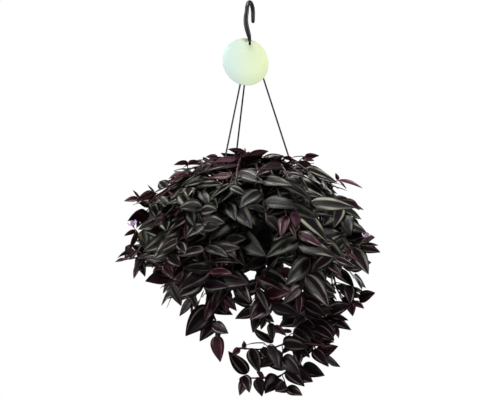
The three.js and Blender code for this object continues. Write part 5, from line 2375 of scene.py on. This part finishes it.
@dataclass
class Tag:
    """The round care tag with its hole, hung on the hook's neck, its face left bare."""

    finishes: Finishes
    radius: float = 28.5
    thickness: float = 0.8
    hole_radius: float = 2.9
    hole_inset: float = 4.5
    lean: float = 15.0
    turn: float = 16.0
    pitch: float = -10.0
    steps: int = 96
    hole: tuple[float, float, float] = (-0.3, -8.8, -46.2)

    def build(self) -> None:
        """Makes the tag as one closed sheet from the hole to the rim and back."""
        half = self.thickness / 2
        upper = [*((share, half) for share in (0.0, 0.12, 0.35, 0.7, 0.985)), (1.0, half * 0.6)]
        stations = [*upper, *((share, -z) for share, z in reversed(upper)), upper[0]]
        rows = len(stations) - 1
        stand = (
            Matrix.Rotation(math.radians(self.turn), 3, "Z") @ Matrix.Rotation(math.radians(self.lean), 3, "Y")
            @ Matrix.Rotation(math.radians(90 + self.pitch), 3, "X"))

        def flat(u: float, v: float) -> tuple[float, float, float]:
            """A corner of the tag lying flat, its hole at the origin.

            Args:
                u: how far round it is, from 0 to 1.
                v: which station it is on, from 0 to 1.

            Returns:
                Its place.
            """
            share, z = stations[round(v * rows)]
            angle = -2 * math.pi * u
            x, y = math.cos(angle), math.sin(angle)
            radius = self.hole_radius * (1 - share) + self.radius * share
            return radius * x, radius * y + (self.hole_inset - self.radius) * share, z

        def place(u: float, v: float) -> Array:
            """A corner of the tag where it hangs."""
            return np.array(stand @ Vector(flat(u, v))) + np.array(self.hole)

        def face_map(u: float, v: float) -> tuple[float, float]:
            """The tag's own map, from its lower left to its upper right."""
            x, y, _ = flat(u, v)
            return 0.5 + 0.5 * x / self.radius, 0.5 + 0.5 * (y + self.radius - self.hole_inset) / self.radius

        make = Maker()
        make.join(make.sheet(self.steps, rows, place, uv=face_map))
        bmesh.ops.recalc_face_normals(make.mesh, faces=make.mesh.faces)
        make.sharpen(30)
        make.finish("care_tag", self.finishes, (Finish.TAG,), Slot.TAG, ["tag"])


@dataclass(frozen=True)
class Lamp:
    """A soft square light: its place and side in metres, and its power in watts."""

    name: str
    place: tuple[float, float, float]
    side: float
    power: float


LAMPS = (
    Lamp("Left", (-1.5, -0.5, 0.3), 0.7, 17.0),
    Lamp("Right", (1.5, -0.5, 0.2), 0.7, 16.0),
    Lamp("Top", (-0.2, -0.2, 1.3), 0.7, 28.0),
    Lamp("Front", (-0.3, -1.8, 0.5), 0.8, 4.0),
    Lamp("Back", (0.3, 1.8, -0.1), 0.9, 6.0),
)


@dataclass
class Studio:
    """The plain floor, the soft lights, the white surroundings and the camera."""

    finishes: Finishes
    distance: float = 1.6
    height: float = -0.2307
    span: float = 0.59
    floor_z: float = -1.5
    floor_half: float = 3.0
    floor_back: float = 0.6
    sensor: float = 36.0
    glow: float = 0.1
    heart: tuple[float, float, float] = (0.0, 0.0, -0.27)

    def build(self) -> None:
        """Makes everything that isn't the plant."""
        bpy.context.scene.view_settings.view_transform = "Standard"
        self.camera()
        self.floor()
        self.world()
        for lamp in LAMPS:
            self.light(lamp)

    def camera(self) -> None:
        """Stands the camera level in front of the plant."""
        data = bpy.data.cameras.new("Camera")
        data.sensor_width = self.sensor
        data.lens = self.sensor * self.distance / self.span
        data.dof.use_dof = False
        camera = bpy.data.objects.new("Camera", data)
        camera.location = (0.0, -self.distance, self.height)
        camera.rotation_euler = (math.radians(90), 0.0, 0.0)
        bpy.context.scene.collection.objects.link(camera)
        bpy.context.scene.camera = camera

    def floor(self) -> None:
        """Lays a pale floor under the hanging plant."""
        make = bmesh.new()
        spot = Matrix.Translation((0, self.floor_back, self.floor_z))
        bmesh.ops.create_grid(make, x_segments=1, y_segments=1, size=self.floor_half, matrix=spot)
        mesh = bpy.data.meshes.new("floor")
        make.to_mesh(mesh)
        make.free()
        mesh.materials.append(self.finishes.made[Finish.FLOOR])
        floor = bpy.data.objects.new("floor", mesh)
        bpy.context.scene.collection.objects.link(floor)
        floor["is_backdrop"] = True

    def world(self) -> None:
        """White surroundings that light softly."""
        world = bpy.data.worlds.new("Studio")
        world.use_nodes = True
        world.node_tree.nodes.clear()
        hand = Shader(world.node_tree)
        mixed = hand.node("ShaderNodeMixShader")
        hand.feed(mixed.inputs[0], hand.node("ShaderNodeLightPath").outputs["Is Camera Ray"])
        for number, strength in ((1, self.glow), (2, 1.0)):
            white = hand.node("ShaderNodeBackground")
            white.inputs["Color"].default_value = (1, 1, 1, 1)
            white.inputs["Strength"].default_value = strength
            hand.feed(mixed.inputs[number], white.outputs[0])
        hand.feed(hand.node("ShaderNodeOutputWorld").inputs[0], mixed.outputs[0])
        bpy.context.scene.world = world

    def light(self, lamp: Lamp) -> None:
        """Adds a soft light that looks at the plant.

        Args:
            lamp: its row.
        """
        data = bpy.data.lights.new(lamp.name, "AREA")
        data.shape, data.size, data.energy = "SQUARE", lamp.side, lamp.power
        light = bpy.data.objects.new(lamp.name, data)
        light.location = lamp.place
        light.rotation_euler = (Vector(self.heart) - Vector(lamp.place)).to_track_quat("-Z", "Y").to_euler()
        bpy.context.scene.collection.objects.link(light)


def corners(box: tuple[Vector, Vector]) -> list[list[float]]:
    """The two corners of a box as plain lists."""
    return [list(corner) for corner in box]


def main() -> None:
    """Builds the scene."""
    logging.basicConfig(level=logging.INFO, format="%(message)s")
    solid_box = corners(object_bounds())
    finishes = Finishes()
    Studio(finishes).build()
    bush = Bush()
    stems = bush.grow()
    Foliage(finishes).build(stems, bush.shoots)
    Blooms(finishes).build(stems)
    Pot(finishes).build()
    Hanger(finishes).build()
    {"solids": solid_box, "scene": corners(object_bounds())}


if __name__ == "__main__":
    main()
